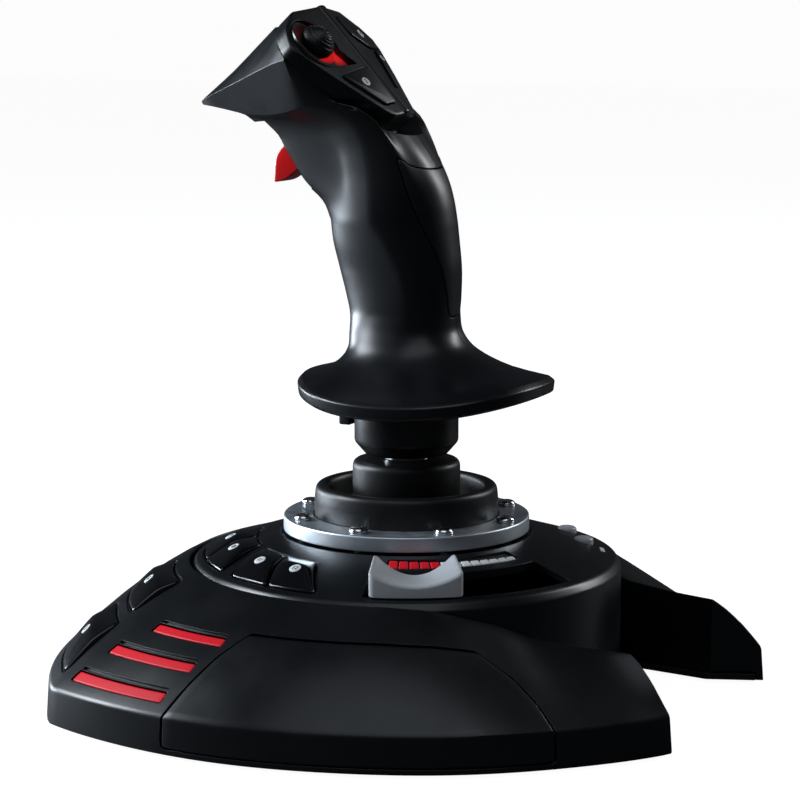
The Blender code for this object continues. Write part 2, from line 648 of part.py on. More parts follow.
def make_gimbal():
    yoke_empty = empty("pitch_axis", (0, 0, PIVOT_Z))
    yoke = turned("pitch_yoke", [(0.0195, -0.0030), (0.0260, -0.0030), (0.0260, 0.0030), (0.0195, 0.0030)],
                  steel(), 20, yoke_empty)
    for side, sign in (("left", -1), ("right", 1)):
        pin = bar(f"yoke_pin_{side}", (sign * 0.0235, 0, 0), (sign * 0.0318, 0, 0), 0.0020, steel(), 10,
                  yoke_empty)
        boolean(yoke, pin, "UNION")
    boolean(yoke, bar("yoke_holes", (0, -0.0300, 0), (0, 0.0300, 0), 0.0021, steel(), 10, yoke_empty))

    stick = empty("roll_axis", (0, 0, PIVOT_Z))
    shaft = solid_turned("stick_shaft", [
        (0.0045, -0.0240), (0.0045, -0.0070), (0.0090, -0.0060), (0.0090, 0.0060), (SHAFT_R, 0.0070),
        (SHAFT_R, 0.0660),
    ], steel(), 20, stick)
    boolean(shaft, bar("shaft_pins", (0, -0.0240, 0), (0, 0.0240, 0), 0.0018, steel(), 10, stick), "UNION")
    turned("boot_collar", [
        (0.0148, 0.0112), (0.0172, 0.0112), (0.0175, 0.0200), (0.0174, 0.0258), (0.0166, 0.0275),
        (0.0152, 0.0281), (0.0079, 0.0281), (0.0079, 0.0262), (0.0148, 0.0250),
    ], rubber(), 20, stick)
    turned("neck", [
        (0.0079, 0.0300), (0.0136, 0.0300), (0.0169, 0.0340), (0.0169, NECK_TOP - PIVOT_Z),
        (0.0079, NECK_TOP - PIVOT_Z),
    ], black_plastic(), 20, stick)
    make_centring_spring(stick)
    lock = block("rudder_lock", (-0.0065, 0.0173, 0.0385), (0.0065, 0.0216, 0.0475), dark_plastic(), stick)
    bevel = lock.modifiers.new("round_edges", "BEVEL")
    bevel.width = 0.0012
    bevel.segments = 2


def make_centring_spring(parent):
    turns, steps, radius, wire = 4, 8, 0.0118, 0.0010
    low, high = 0.0085, 0.0240
    curve = bpy.data.curves.new("centring_spring", "CURVE")
    curve.dimensions = "3D"
    curve.bevel_depth = wire
    curve.bevel_resolution = 1
    curve.use_fill_caps = True
    spline = curve.splines.new("POLY")
    count = turns * steps
    spline.points.add(count)
    for i in range(count + 1):
        x, y, z = at_angle(radius, 360 * i / steps, low + (high - low) * i / count)
        spline.points[i].co = (x, y, z, 1)
    curve.materials.append(steel())
    obj = bpy.data.objects.new("centring_spring", curve)
    bpy.context.scene.collection.objects.link(obj)
    obj.parent = parent


# ---------------------------------------------------------------- grip

def superellipse(angle, depth, width):
    """X and Y of a rounded oval, at an angle counted from +Y."""
    sine, cosine = math.sin(angle), math.cos(angle)
    power = 2 / SQUARENESS
    x = math.copysign(abs(sine) ** power, sine) * width
    y = math.copysign(abs(cosine) ** power, cosine) * depth
    return x, y


def grip_loop(section, inset=0.0):
    z, centre, depth, width, *saddle = section
    drop = SADDLE_DROP * sum(saddle)
    loop = []
    for i in range(GRIP_STEPS):
        angle = 2 * math.pi * (i + 0.5) / GRIP_STEPS
        x, y = superellipse(angle, depth - inset, width - inset)
        loop.append((x, centre + y, z - drop * math.sin(angle) ** 2))
    return loop


def plate_matrix():
    return Matrix.Translation(PLATE_ORIGIN) @ Matrix.Rotation(math.radians(PLATE_TILT_DEG), 4, "X")


def head_points():
    """Corners of the head under the thumb plate, with the nose that reaches forward."""
    top = PLATE_UNDERSIDE - GAP
    points = []
    for across, down in PLATE_OUTLINE:
        for sign in (-1, 1):
            points.append(plate_matrix() @ Vector((sign * (across - 0.0008), -down, top)))
    for x, y, z in ((0.0012, 0.0752, 0.1872), (0.0075, 0.0430, 0.2128), (0.0060, 0.0600, 0.1838),
                    (0.0225, 0.0240, 0.1880), (0.0140, 0.0500, 0.1815), (0.0150, 0.0040, 0.1805)):
        points += [Vector((x, y, z)), Vector((-x, y, z))]
    return points


def hull(name, points, mat, inset=0.0):
    middle = sum(points, Vector()) / len(points)
    bm = bmesh.new()
    for point in points:
        away = point - middle
        bm.verts.new(point - away.normalized() * inset)
    made = bmesh.ops.convex_hull(bm, input=bm.verts)
    spare = {v for v in made["geom_interior"] + made["geom_unused"] if isinstance(v, bmesh.types.BMVert)}
    bmesh.ops.delete(bm, geom=list(spare), context="VERTS")
    return add_object(name, bm, mat)


def make_grip():
    sections = REST_SECTIONS + GRIP_SECTIONS
    outer_loops = [grip_loop(section) for section in sections]
    cavity = [
        [at_angle(SHAFT_HOLE_R, 360 * (i + 0.5) / GRIP_STEPS, z) for i in range(GRIP_STEPS)]
        for z in (0.0900, 0.1085)
    ]
    cavity += [grip_loop(section, GRIP_WALL) for section in GRIP_SECTIONS[:-1]]
    reach = 0.0650  # the parting block runs this far past the half it takes away
    for side, sign in (("left", -1), ("right", 1)):
        body = lofted(f"grip_{side}", outer_loops, black_plastic())
        boolean(body, hull(f"head_{side}", head_points(), black_plastic()), "UNION")
        boolean(body, lofted(f"grip_cavity_{side}", cavity, dark_plastic()))
        boolean(body, hull(f"head_cavity_{side}", head_points(), dark_plastic(), 0.0042))
        boolean(body, plate_cutter(f"plate_seat_{side}", 1.015, PLATE_UNDERSIDE - GAP, 0.0300))
        if sign * HAT_AT[0] > 0:
            well = solid_turned("hat_well", [(0.0068, -0.0146), (0.0068, -0.0060)], dark_plastic(), 16)
            well.matrix_world = plate_matrix() @ Matrix.Translation((*HAT_AT, 0))
            boolean(body, well)
        boolean(body, palm_sheet(f"palm_pocket_{side}", GAP, -0.0016, 0.004))
        slot = side_prism(f"trigger_slot_{side}", TRIGGER_SLOT, 0.0052, dark_plastic())
        slot.location = TRIGGER_PIVOT
        boolean(body, slot)
        edge = sign * GAP / 2
        low, high = sorted((edge, edge - sign * reach))
        parting = block(f"grip_parting_{side}", (low, -0.080, 0.080), (high, 0.100, 0.240), dark_plastic())
        boolean(body, parting)
    palm_sheet("palm_insert", 0.0, -0.0013, 0.0002)
    trigger = side_prism("trigger", TRIGGER_OUTLINE, 0.0044, red_plastic())
    trigger.location = TRIGGER_PIVOT


def plate_cutter(name, scale, low, high):
    """The thumb plate's outline, scaled about its middle, between two depths of its frame."""
    outline = [(x * scale, -down * scale) for x, down in PLATE_OUTLINE]
    outline += [(-x, y) for x, y in outline[::-1]]
    cutter = prism(name, outline, low, high, dark_plastic())
    shift = -(1 - scale) * PLATE_OUTLINE[-1][1] / 2
    cutter.matrix_world = plate_matrix() @ Matrix.Translation((0, shift, 0))
    return cutter


def palm_sheet(name, grow, low, high):
    """The palm insert's sheet round the back of the grip, offset inward by low and outward by high."""
    bottom, top = PALM_Z
    grid = []
    for z, centre, depth, width in GRIP_SECTIONS:
        if bottom <= z <= top:
            reach = math.radians(np.interp(z, *np.array(PALM_REACH).T)) + grow / depth
            row = []
            for j in range(PALM_COLUMNS):
                x, y = superellipse(math.pi + reach * (2 * j / (PALM_COLUMNS - 1) - 1), depth, width)
                row.append(Vector((x, centre + y, z)))
            grid.append(row)
    for row, shift in ((grid[0], -grow), (grid[-1], grow)):
        for point in row:
            point.z += shift
    return slab(name, grid, low, high, rubber())


# ---------------------------------------------------------------- thumb plate and its keys

def roof(across):
    return -abs(across) * math.tan(math.radians(ROOF_DEG))


def plate_prism(name, outline, low, rise, mat, parent):
    """A plate-frame prism whose top follows the roof, raised by rise, and whose bottom is flat."""
    loops = [[(x, y, low) for x, y in outline], [(x, y, roof(x) + rise) for x, y in outline]]
    return lofted(name, loops, mat, parent)


def drop_outline(grow=0.0):
    """The hat window: a round well drawn out to a point down the slope, beside the ridge."""
    cx, cy = HAT_AT
    radius = 0.0098 + grow
    start, turn, points = math.radians(-85), math.radians(300), 13
    round_part = [(cx + radius * math.cos(a), cy + radius * math.sin(a))
                  for a in np.linspace(start, start - turn, points)]
    tip = (cx + 0.0120 + grow, cy - 0.0105 - grow)
    return round_part + [tip]


def grown(outline, by):
    """An outline pushed out from its middle by about the given distance."""
    middle = Vector(np.mean(np.array(outline), axis=0))
    made = []
    for point in outline:
        away = Vector(point) - middle
        made.append(tuple(middle + away * (1 + by / away.length)))
    return made


def make_thumb_plate():
    frame = empty("plate_frame", PLATE_ORIGIN, (math.radians(PLATE_TILT_DEG), 0, 0))
    half = [(x, -down) for x, down in PLATE_OUTLINE]
    bm = bmesh.new()
    ridge_top, ridge_end = (0.0, -PLATE_OUTLINE[0][1]), (0.0, -PLATE_OUTLINE[-1][1])
    ring = [ridge_top] + half + [ridge_end] + [(-x, y) for x, y in half[::-1]]
    top = [bm.verts.new((x, y, roof(x))) for x, y in ring]
    base = [bm.verts.new((x, y, PLATE_UNDERSIDE)) for x, y in ring]
    count, turn = len(ring), len(half) + 1
    bm.faces.new(base)
    bm.faces.new(top[: turn + 1])
    bm.faces.new(top[turn:] + top[:1])
    for i in range(count):
        j = (i + 1) % count
        bm.faces.new((base[i], base[j], top[j], top[i]))
    plate = add_object("thumb_plate", bm, black_plastic(), frame)
    for name, outline in THUMB_KEYS.items():
        plate_prism(name, outline, THUMB_KEY_LOW, 0.0008, key_plastic(), frame)
        hole = plate_prism(f"{name}_hole", grown(outline, 0.0005), -0.0200, 0.0100, key_plastic(), frame)
        boolean(plate, hole)
    boolean(plate, prism("hat_opening", drop_outline(), -0.0200, 0.0100, key_plastic(), frame))
    cx, cy = HAT_AT
    window = prism("hat_window", drop_outline(-0.0004), -0.0085, -0.0072, red_plastic(), frame)
    hole = solid_turned("window_hole", [(0.0048, -0.0200), (0.0048, 0.0)], red_plastic(), 20, frame)
    hole.location = (cx, cy, 0)
    boolean(window, hole)

    hat = empty("hat_axes", (cx, cy, HAT_PIVOT_DEPTH), parent=frame)
    turned("hat_rocker", [(0.0036, -0.0012), (0.0055, -0.0012), (0.0055, 0.0012), (0.0036, 0.0012)],
           steel(), 14, hat)
    solid_turned("hat_cap", [
        (0.0028, -0.0030), (0.0030, 0.0045), (0.0052, 0.0062), (0.0056, 0.0098), (0.0062, 0.0112),
        (0.0050, 0.0124), (0.0015, 0.0130),
    ], rubber(), 16, hat)


# ---------------------------------------------------------------- the joystick

def clear_scene():
    for obj in list(bpy.data.objects):
        bpy.data.objects.remove(obj, do_unlink=True)


def main():
    clear_scene()
    shell = make_base_shell()
    turret = make_turret()
    make_bottom_plate()
    make_feet()
    make_side_inlays(shell)
    make_base_keys(shell, turret)
    make_turret_details(turret)
    make_clamp(turret)
    make_base_internals(shell)
    make_throttle()
    make_gimbal()
    make_grip()
    make_thumb_plate()
    solid_turned("twist_sensor", [(0.0095, 0.1130), (0.0095, 0.1210)], dark_plastic(), 16)


main()
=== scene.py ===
import math

import bmesh
import bpy
import numpy as np
from mathutils import Matrix, Vector


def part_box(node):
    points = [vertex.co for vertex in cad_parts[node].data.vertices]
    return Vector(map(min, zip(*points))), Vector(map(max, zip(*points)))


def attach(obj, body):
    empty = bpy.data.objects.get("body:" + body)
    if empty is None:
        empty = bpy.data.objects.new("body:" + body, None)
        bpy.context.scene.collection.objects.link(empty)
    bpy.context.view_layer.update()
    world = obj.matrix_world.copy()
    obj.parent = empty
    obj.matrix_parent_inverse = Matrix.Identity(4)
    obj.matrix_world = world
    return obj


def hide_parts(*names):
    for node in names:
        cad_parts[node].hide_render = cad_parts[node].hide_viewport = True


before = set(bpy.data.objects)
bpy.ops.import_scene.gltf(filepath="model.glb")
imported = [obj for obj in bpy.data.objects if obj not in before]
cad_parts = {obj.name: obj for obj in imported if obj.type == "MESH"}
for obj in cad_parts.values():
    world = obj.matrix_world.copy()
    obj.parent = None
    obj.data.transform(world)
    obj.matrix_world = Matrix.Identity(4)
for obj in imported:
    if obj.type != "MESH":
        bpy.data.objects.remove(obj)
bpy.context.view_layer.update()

# Sizes are in metres, in the CAD's frame: +Y away from the user, +X to the right, the stick on the Z axis.
# Angles round the stick are in degrees from +Y, negative on the user's left. The corners given to rounded(),
# the loops round the head and the seam core are in millimetres.
MM = 0.001
UP = (0, 0, 1)
SIDES = (("left", -1), ("right", 1))

# Base shell
WALL = 0.0024
SHELL_FLOOR = 0.0012
INNER_FLOOR = 0.0038
CREASE_Z = 0.0124  # top of the upright outer wall
CREASE_STEP = 0.0008
FRONT_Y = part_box("base_shell")[1][1]
FRONT_RADIUS = 0.1606
CORNER_DEG = 52.1
TIP_DEG = 157.6
SIDE_RADII = ((52.1, 0.1233), (65, 0.1174), (84, 0.1116), (105, 0.1080), (123, 0.1087), (141, 0.1114),
              (157.6, 0.1170))
RIM_HEIGHTS = ((0, 0.042), (110, 0.042), (120, 0.041), (126, 0.0394), (137, 0.0355), (145.4, 0.031),
               (153, 0.0292), (157.6, 0.0287))
NOTCH_START = (0.0430, -0.0552)
NOTCH_END = (0.0380, -0.0906)
# Rows on the slope, as (share, first degree, last degree), and the bars as (share, degrees from, to).
PANEL_ROWS = ((-0.82, 75.9, 138.3), (-0.4, 75.9, 138.3), (0.0, 75.9, 138.3), (0.2, 77.0, 137.3),
              (0.41, 78.9, 134.9), (0.62, 82.3, 129.8))
BARS = ((0.530, 60, 78), (0.320, 56, 75.6), (0.110, 54.6, 74))
BAR_HALF_SHARE = 0.030

# Turret and stick
TURRET_R = 0.070
RING_R = 0.040
TURRET_TOP = 0.051
TURRET_FALL = 0.305
SHELL_INNER_R = TURRET_R + 0.0005
PIVOT_Z = 0.046
RING_TOP = 0.0561
RING_SCREWS = 8
SCREW_CIRCLE_R = 0.035
SHAFT_HOLE_R = 0.0084

# Thumb plate frame: X across, +Y up the slope along the ridge, Z out of the plate.
PLATE_ORIGIN = (0.0, 0.0297, 0.2184)
PLATE_TILT_DEG = 47.1
ROOF_DEG = 9.0
PLATE_UNDERSIDE = -0.0090
PLATE_OUTLINE = ((0.0160, -0.0012), (0.0255, 0.0045), (0.0305, 0.0125), (0.0212, 0.0270), (0.0100, 0.0425),
                 (0.0070, 0.0447))
HAT_AT = (-0.0175, -0.0125)
HAT_PIVOT_DEPTH = -0.0110
WINDOW_TOP = -0.0032  # the red window's upper face, below the plate
THUMB_KEYS = {
    "thumb_key_2": ((-0.0030, -0.0250), (-0.0030, -0.0400), (-0.0085, -0.0400), (-0.0175, -0.0275),
                    (-0.0175, -0.0262)),
    "thumb_key_3": ((0.0225, -0.0165), (0.0185, -0.0165), (0.0085, -0.0330), (0.0115, -0.0330),
                    (0.0200, -0.0225)),
    "thumb_key_4": ((0.0060, -0.0030), (0.0060, -0.0110), (0.0150, -0.0152), (0.0245, -0.0152),
                    (0.0262, -0.0110), (0.0215, -0.0055), (0.0140, -0.0030)),
}
THUMB_KEY_LOW = -0.0078
RIDGE_HALF = 0.0017
RIDGE_RISE = 0.0006

# Base keys by number: rows of (share of the slope, or radius on the turret; first degree, last degree).
SLOPE_KEYS = {
    5: ((0.10, -51.0, -35.5), (0.45, -49.0, -33.0)), 6: ((0.55, -48.0, -27.5), (0.87, -47.0, -24.5)),
    7: ((0.55, 27.5, 48.0), (0.87, 24.5, 47.0)), 8: ((0.10, 35.5, 51.0), (0.45, 33.0, 49.0)),
}
TURRET_KEYS = {
    9: ((0.0655, -36.2, -20.8), (0.0490, -26.6, -11.4)), 10: ((0.0655, -52.6, -37.2), (0.0490, -43.0, -27.8)),
    11: ((0.0655, -74.2, -59.0), (0.0490, -64.6, -49.4)),
    12: ((0.0655, -90.4, -75.2), (0.0490, -80.8, -65.6)),
}
SLOT_ROWS = ((0.0660, -166.0, -103.5), (0.0520, -166.0, -103.5))
SCALE_R = (0.0486, 0.0438)
SCALE_DEG = (-161.0, -108.5)
THROTTLE_DEG = -118.0
THROTTLE_HALF_DEG = 12.6
PADDLE_R = (0.0668, 0.0560)
SMALL_KEYS = {"preset_key": (0.0297, -0.0503), "mapping_key": (0.0420, -0.0395)}
LENS_ROWS = ((0.0648, 151.9, 157.1), (0.0632, 151.9, 157.1))


# ---------------------------------------------------------------- materials

WORN_EDGE = 0.0003
MOTTLE = 45  # patches of gloss per metre
PLAIN_NOISE = (0.3, 0.7)  # the range that most of a noise texture lies in


def set_inputs(tree, node, inputs):
    """Gives each input a value, or a link where the value is another node's output."""
    for name, value in inputs.items():
        if isinstance(value, bpy.types.NodeSocket):
            tree.links.new(value, node.inputs[name])
        else:
            node.inputs[name].default_value = value


def add_node(tree, kind, inputs=(), **settings):
    node = tree.nodes.new("ShaderNode" + kind)
    for name, value in settings.items():
        setattr(node, name, value)
    set_inputs(tree, node, dict(inputs))
    return node


def principled(name, colour, roughness, metallic=0.0, coat=0.0, specular=0.5):
    mat = bpy.data.materials.new(name)
    mat.use_nodes = True
    shader = mat.node_tree.nodes["Principled BSDF"]
    set_inputs(mat.node_tree, shader, {
        "Base Color": (*colour, 1), "Roughness": roughness, "Metallic": metallic, "Coat Weight": coat,
        "Specular IOR Level": specular,
    })
    return mat, mat.node_tree, shader


def noise(tree, scale, detail=2.0, stretch=None):
    """A noise texture in object space, in features per metre; stretch scales the space along each axis."""
    space = add_node(tree, "TexCoord").outputs["Object"]
    if stretch:
        space = add_node(tree, "Mapping", {"Scale": stretch, "Vector": space}).outputs["Vector"]
    return add_node(tree, "TexNoise", {"Scale": scale, "Detail": detail, "Vector": space}).outputs["Fac"]


def map_range(tree, value, span, low=0.0, high=1.0, **settings):
    """Maps a value's span to low ... high."""
    inputs = {"Value": value, "From Min": span[0], "From Max": span[1], "To Min": low, "To Max": high}
    return add_node(tree, "MapRange", inputs, **settings).outputs["Result"]


def mix_colour(tree, share, first, second):
    return add_node(tree, "Mix", {0: share, 6: (*first, 1), 7: (*second, 1)}, data_type="RGBA").outputs[2]


def edge_mask(tree, radius):
    """1 on edges and 0 on open faces, from the difference between bevelled and real normals."""
    soft_normal = add_node(tree, "Bevel", {"Radius": radius}, samples=4).outputs["Normal"]
    real_normal = add_node(tree, "NewGeometry").outputs["Normal"]
    dot = add_node(tree, "VectorMath", {0: soft_normal, 1: real_normal}, operation="DOT_PRODUCT")
    return map_range(tree, dot.outputs["Value"], (0.995, 0.90)), soft_normal


def bump(tree, shader, height, distance, normal=None):
    inputs = {"Distance": distance, "Height": height}
    if normal:
        inputs["Normal"] = normal
    set_inputs(tree, shader, {"Normal": add_node(tree, "Bump", inputs).outputs["Normal"]})


def moulded(name, colour, worn, roughness, grain=2600, depth=0.000012, coat=0.0, specular=0.5):
    """Moulded plastic: a fine spark-eroded grain, slightly uneven gloss, and a little wear on the edges."""
    mat, tree, shader = principled(name, colour, roughness, coat=coat, specular=specular)
    wear, soft_normal = edge_mask(tree, WORN_EDGE)
    set_inputs(tree, shader, {
        "Base Color": mix_colour(tree, wear, colour, worn),
        "Roughness": map_range(tree, noise(tree, MOTTLE, 4), PLAIN_NOISE, roughness - 0.05, roughness + 0.06),
    })
    bump(tree, shader, noise(tree, grain, 3), depth, soft_normal)
    return mat


def metal(name, colour, roughness, stretch, depth, fine=900):
    """Turned or plated metal with fine marks along one direction."""
    mat, tree, shader = principled(name, colour, roughness, metallic=1.0)
    marks = noise(tree, fine, 3, stretch)
    gloss = map_range(tree, marks, PLAIN_NOISE, roughness - 0.06, roughness + 0.08)
    set_inputs(tree, shader, {"Roughness": gloss})
    bump(tree, shader, marks, depth)
    return mat


def glow_material():
    """Red moulding with a faint painted glow and painted shade: bright in its round part, nearly black
    towards the drop's point, and darker at its upper edge and on the hat's left side.
    """
    mat, tree, shader = principled("window_red", (0.62, 0.004, 0.008), 0.32, coat=0.4)
    place = add_node(tree, "SeparateXYZ", {0: add_node(tree, "TexCoord").outputs["Object"]})
    tip = (plate_matrix() @ Vector((0, HAT_AT[1] - 0.0100, WINDOW_TOP))).z
    top = tip + 0.0120
    # Painted shade: a mask that darkens the red towards the drop's point, its upper edge and the hat's left
    # side.
    share = 1.0
    for axis, span in (("Z", (tip, tip + 0.0030)), ("Z", (top, top - 0.0040)),
                       ("X", (HAT_AT[0] + 0.0020, HAT_AT[0] + 0.0056))):
        painted_shade = map_range(tree, place.outputs[axis], span, interpolation_type="SMOOTHSTEP")
        share = add_node(tree, "Math", {0: share, 1: painted_shade}, operation="MULTIPLY").outputs[0]
    colour = mix_colour(tree, share, (0.003, 0.002, 0.002), (0.80, 0.012, 0.012))
    # The emission paints a faint glow, in the same shaded colour.
    set_inputs(tree, shader, {"Base Color": colour, "Emission Color": colour, "Emission Strength": 0.6})
    bump(tree, shader, noise(tree, 1500, 2), 0.000010)
    return mat


def make_materials():
    black, worn = (0.0018, 0.0026, 0.0038), (0.0056, 0.0084, 0.0120)
    numeral_ink = (0.012, 0.012, 0.013)
    return {
        "black": moulded("black_satin_plastic", black, worn, 0.33),
        "head": moulded("black_satin_grip", black, worn, 0.32),
        "matte": moulded("dark_matte_plastic", (0.0035, 0.0036, 0.0042), (0.007, 0.007, 0.009), 0.6, 1800),
        "gloss": moulded("key_gloss_plastic", (0.0022, 0.0026, 0.0034), (0.016, 0.018, 0.024), 0.20,
                         depth=0.000005, coat=0.25),
        "rubber": moulded("moulded_rubber", (0.0025, 0.0026, 0.0030), (0.009, 0.009, 0.011), 0.42, grain=1500,
                          depth=0.00002),
        "insert": moulded("palm_rubber", (0.0020, 0.0023, 0.0030), (0.008, 0.009, 0.011), 0.38, grain=2200,
                          depth=0.000016),
        "red": moulded("red_bar_plastic", (0.80, 0.004, 0.018), (0.88, 0.04, 0.06), 0.45, grain=1300,
                       depth=0.00003, specular=0.3),
        "trigger": moulded("red_trigger_plastic", (0.86, 0.010, 0.012), (0.90, 0.08, 0.08), 0.28,
                           depth=0.000004, coat=0.3),
        "white": moulded("off_white_print", (0.82, 0.84, 0.84), (0.86, 0.87, 0.87), 0.45),
        "silver": moulded("silver_painted_plastic", (0.50, 0.52, 0.54), (0.78, 0.80, 0.82), 0.30, grain=3200,
                          depth=0.000008, coat=0.15),
        "ring": metal("anodised_ring", (0.66, 0.71, 0.76), 0.42, (0.3, 0.3, 14), 0.0000015),
        "chrome": metal("plated_screw", (0.80, 0.80, 0.81), 0.16, (1, 1, 5), 0.000003),
        "shaft": metal("polished_shaft", (0.82, 0.82, 0.83), 0.14, (1, 1, 30), 0.000004, 300),
        "steel": metal("machined_steel", (0.50, 0.50, 0.51), 0.32, (1, 1, 8), 0.000008),
        "ballast": metal("cast_ballast", (0.32, 0.32, 0.33), 0.48, (1, 1, 1), 0.00004),
        "board": moulded("circuit_laminate", (0.010, 0.075, 0.026), (0.20, 0.18, 0.08), 0.35, grain=900),
        # The hat window's material, with a painted glow and painted shade.
        "painted_glow_and_shade": glow_material(),
        "numeral": moulded("numeral_ink", numeral_ink, numeral_ink, 0.5),
    }


# ---------------------------------------------------------------- mesh tools

def piece(name, bm, mat, body, stands_for=None, sharp=32):
    """A finished piece made of a bmesh in the row frame, riding on a CAD body and standing for a CAD node."""
    return finish_piece(loose(name, bm, sharp), mat, body, stands_for)


def add_object(name, data):
    obj = bpy.data.objects.new(name, data)
    bpy.context.scene.collection.objects.link(obj)
    return obj


def clean(bm):
    bmesh.ops.remove_doubles(bm, verts=bm.verts, dist=2e-6)
    bmesh.ops.dissolve_degenerate(bm, edges=bm.edges, dist=2e-6)


def loose(name, bm, sharp=32):
    """An object made of a bmesh, not yet a piece: a cutter, or a shape that is still to be cut."""
    clean(bm)
    bmesh.ops.recalc_face_normals(bm, faces=bm.faces)
    mesh = bpy.data.meshes.new(name)
    bm.to_mesh(mesh)
    bm.free()
    shade(mesh, sharp)
    return add_object(name, mesh)


def shade(mesh, sharp):
    mesh.shade_smooth()
    mesh.set_sharp_from_angle(angle=math.radians(sharp))


def finish_piece(obj, mat, body, stands_for=None):
    obj.data.materials.clear()
    obj.data.materials.append(M[mat])
    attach(obj, body)
    if stands_for:
        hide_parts(stands_for)
    return obj


def carve(obj, cutters, operation="DIFFERENCE", sharp=32):
    """Applies Booleans with the cutters, which are then removed."""
    for cutter in cutters:
        modifier = obj.modifiers.new(cutter.name, "BOOLEAN")
        modifier.operation = operation
        modifier.solver = "MANIFOLD"
        modifier.object = cutter
    graph = bpy.context.evaluated_depsgraph_get()
    made = bpy.data.meshes.new_from_object(obj.evaluated_get(graph))
    obj.modifiers.clear()
    old = obj.data
    obj.data = made
    made.name = old.name
    bpy.data.meshes.remove(old)
    for cutter in cutters:
        bpy.data.objects.remove(cutter, do_unlink=True)
    bm = bmesh.new()
    bm.from_mesh(made)
    clean(bm)
    bm.to_mesh(made)
    bm.free()
    shade(made, sharp)
    return obj


def at_angle(radius, degrees, z=0.0):
    angle = math.radians(degrees)
    return Vector((radius * math.sin(angle), radius * math.cos(angle), z))


def skin(loops, closed=False):
    """A bmesh of faces between loops of points, capped at both ends unless the row of loops is closed."""
    bm = bmesh.new()
    rings = [[bm.verts.new(point) for point in loop] for loop in loops]
    count = len(rings[0])
    pairs = list(zip(rings, rings[1:]))
    if closed:
        pairs.append((rings[-1], rings[0]))
    for low, high in pairs:
        for i in range(count):
            j = (i + 1) % count
            bm.faces.new((low[i], low[j], high[j], high[i]))
    if not closed:
        bm.faces.new(rings[0][::-1])
        bm.faces.new(rings[-1])
    return bm


def fillet(points, radii, steps=4, closed=True):
    """Rounds the corners of a path with short curves; a radius of 0 keeps the corner."""
    points = [np.array(p, float) for p in points]
    count = len(points)
    made = []
    for i, (point, radius) in enumerate(zip(points, radii)):
        if radius == 0 or (not closed and i in (0, count - 1)):
            made.append(tuple(point))
            continue
        before, after = points[i - 1] - point, points[(i + 1) % count] - point
        size_b, size_a = np.linalg.norm(before), np.linalg.norm(after)
        start = point + before / size_b * min(radius, 0.48 * size_b)
        end = point + after / size_a * min(radius, 0.48 * size_a)
        for k in range(steps + 1):
            t = k / steps
            made.append(tuple((1 - t) ** 2 * start + 2 * t * (1 - t) * point + t * t * end))
    return made


def rounded(corners, steps=4, closed=True):
    """A path from corners in millimetres: (x, y), or (x, y, radius) where the corner is rounded."""
    radii = [corner[2] * MM if len(corner) > 2 else 0 for corner in corners]
    return fillet([(corner[0] * MM, corner[1] * MM) for corner in corners], radii, steps, closed)


def turned(profile, steps=128):
    """A closed profile of (radius, z) points turned about Z, clear of the axis."""
    return skin([[at_angle(r, 360 * i / steps, z) for r, z in profile] for i in range(steps)], closed=True)


def placed(bm, matrix=None):
    if matrix:
        bmesh.ops.transform(bm, matrix=matrix, verts=bm.verts)
    return bm


def solid_turned(profile, steps=64, matrix=None):
    """A solid of revolution: (radius, z) points from its bottom to its top."""
    return placed(skin([[at_angle(r, 360 * i / steps, z) for i in range(steps)] for r, z in profile]), matrix)


def rod(start, end, radius):
    start, run = Vector(start), Vector(end) - Vector(start)
    turn = Matrix.Translation(start) @ run.to_track_quat("Z", "Y").to_matrix().to_4x4()
    return solid_turned([(radius, 0), (radius, run.length)], 32, turn)


def prism(outline, low, high, matrix=None):
    return placed(skin([[Vector((x, y, z)) for x, y in outline] for z in (low, high)]), matrix)


def softened(obj, width, segments=3):
    """Rounds an object's edges for good."""
    modifier = obj.modifiers.new("edges", "BEVEL")
    modifier.width = width
    modifier.segments = segments
    modifier.limit_method = "ANGLE"
    modifier.angle_limit = math.radians(30)
    return carve(obj, [])


def outward_normals(points):
    """Unit normals of a grid of points that goes round the stick's axis, turned away from the axis."""
    normals = np.cross(np.gradient(points, axis=0), np.gradient(points, axis=1))
    normals /= np.linalg.norm(normals, axis=2, keepdims=True)
    return -normals if (normals * points)[..., :2].sum() < 0 else normals


def slab(grid, low, high, direction=None):
    """A closed bmesh between two offsets of a grid of points, along a direction or the grid's own normals."""
    points = np.array(grid, float)
    rows, columns = points.shape[:2]
    if direction is None:
        normals = outward_normals(points)
    else:
        normals = np.broadcast_to(np.array(direction, float), points.shape)
    bm = bmesh.new()
    layers = []
    for offset in (low, high):
        offset = np.asarray(offset, float)
        if offset.ndim:
            offset = offset[..., None]
        layers.append([[bm.verts.new(p) for p in row] for row in points + normals * offset])
    for layer in layers:
        for i in range(rows - 1):
            for j in range(columns - 1):
                bm.faces.new((layer[i][j], layer[i + 1][j], layer[i + 1][j + 1], layer[i][j + 1]))
    edge = [(i, 0) for i in range(rows)] + [(rows - 1, j) for j in range(1, columns)]
    edge += [(i, columns - 1) for i in range(rows - 2, -1, -1)] + [(0, j) for j in range(columns - 2, 0, -1)]
    for (a, b), (c, d) in zip(edge, edge[1:] + edge[:1]):
        bm.faces.new((layers[0][a][b], layers[0][c][d], layers[1][c][d], layers[1][a][b]))
    return bm


# ---------------------------------------------------------------- surfaces

def smooth_curve(points, at):
    """A smooth curve through (position, value) points, read at one position."""
    xs, ys = np.array(points, float).T
    slopes = np.gradient(ys, xs)
    at = min(max(at, xs[0]), xs[-1])
    i = min(max(int(np.searchsorted(xs, at)) - 1, 0), len(xs) - 2)
    step = xs[i + 1] - xs[i]
    t = (at - xs[i]) / step
    return float(
        (2 * t**3 - 3 * t**2 + 1) * ys[i] + (t**3 - 2 * t**2 + t) * step * slopes[i]
        + (3 * t**2 - 2 * t**3) * ys[i + 1] + (t**3 - t**2) * step * slopes[i + 1]
    )


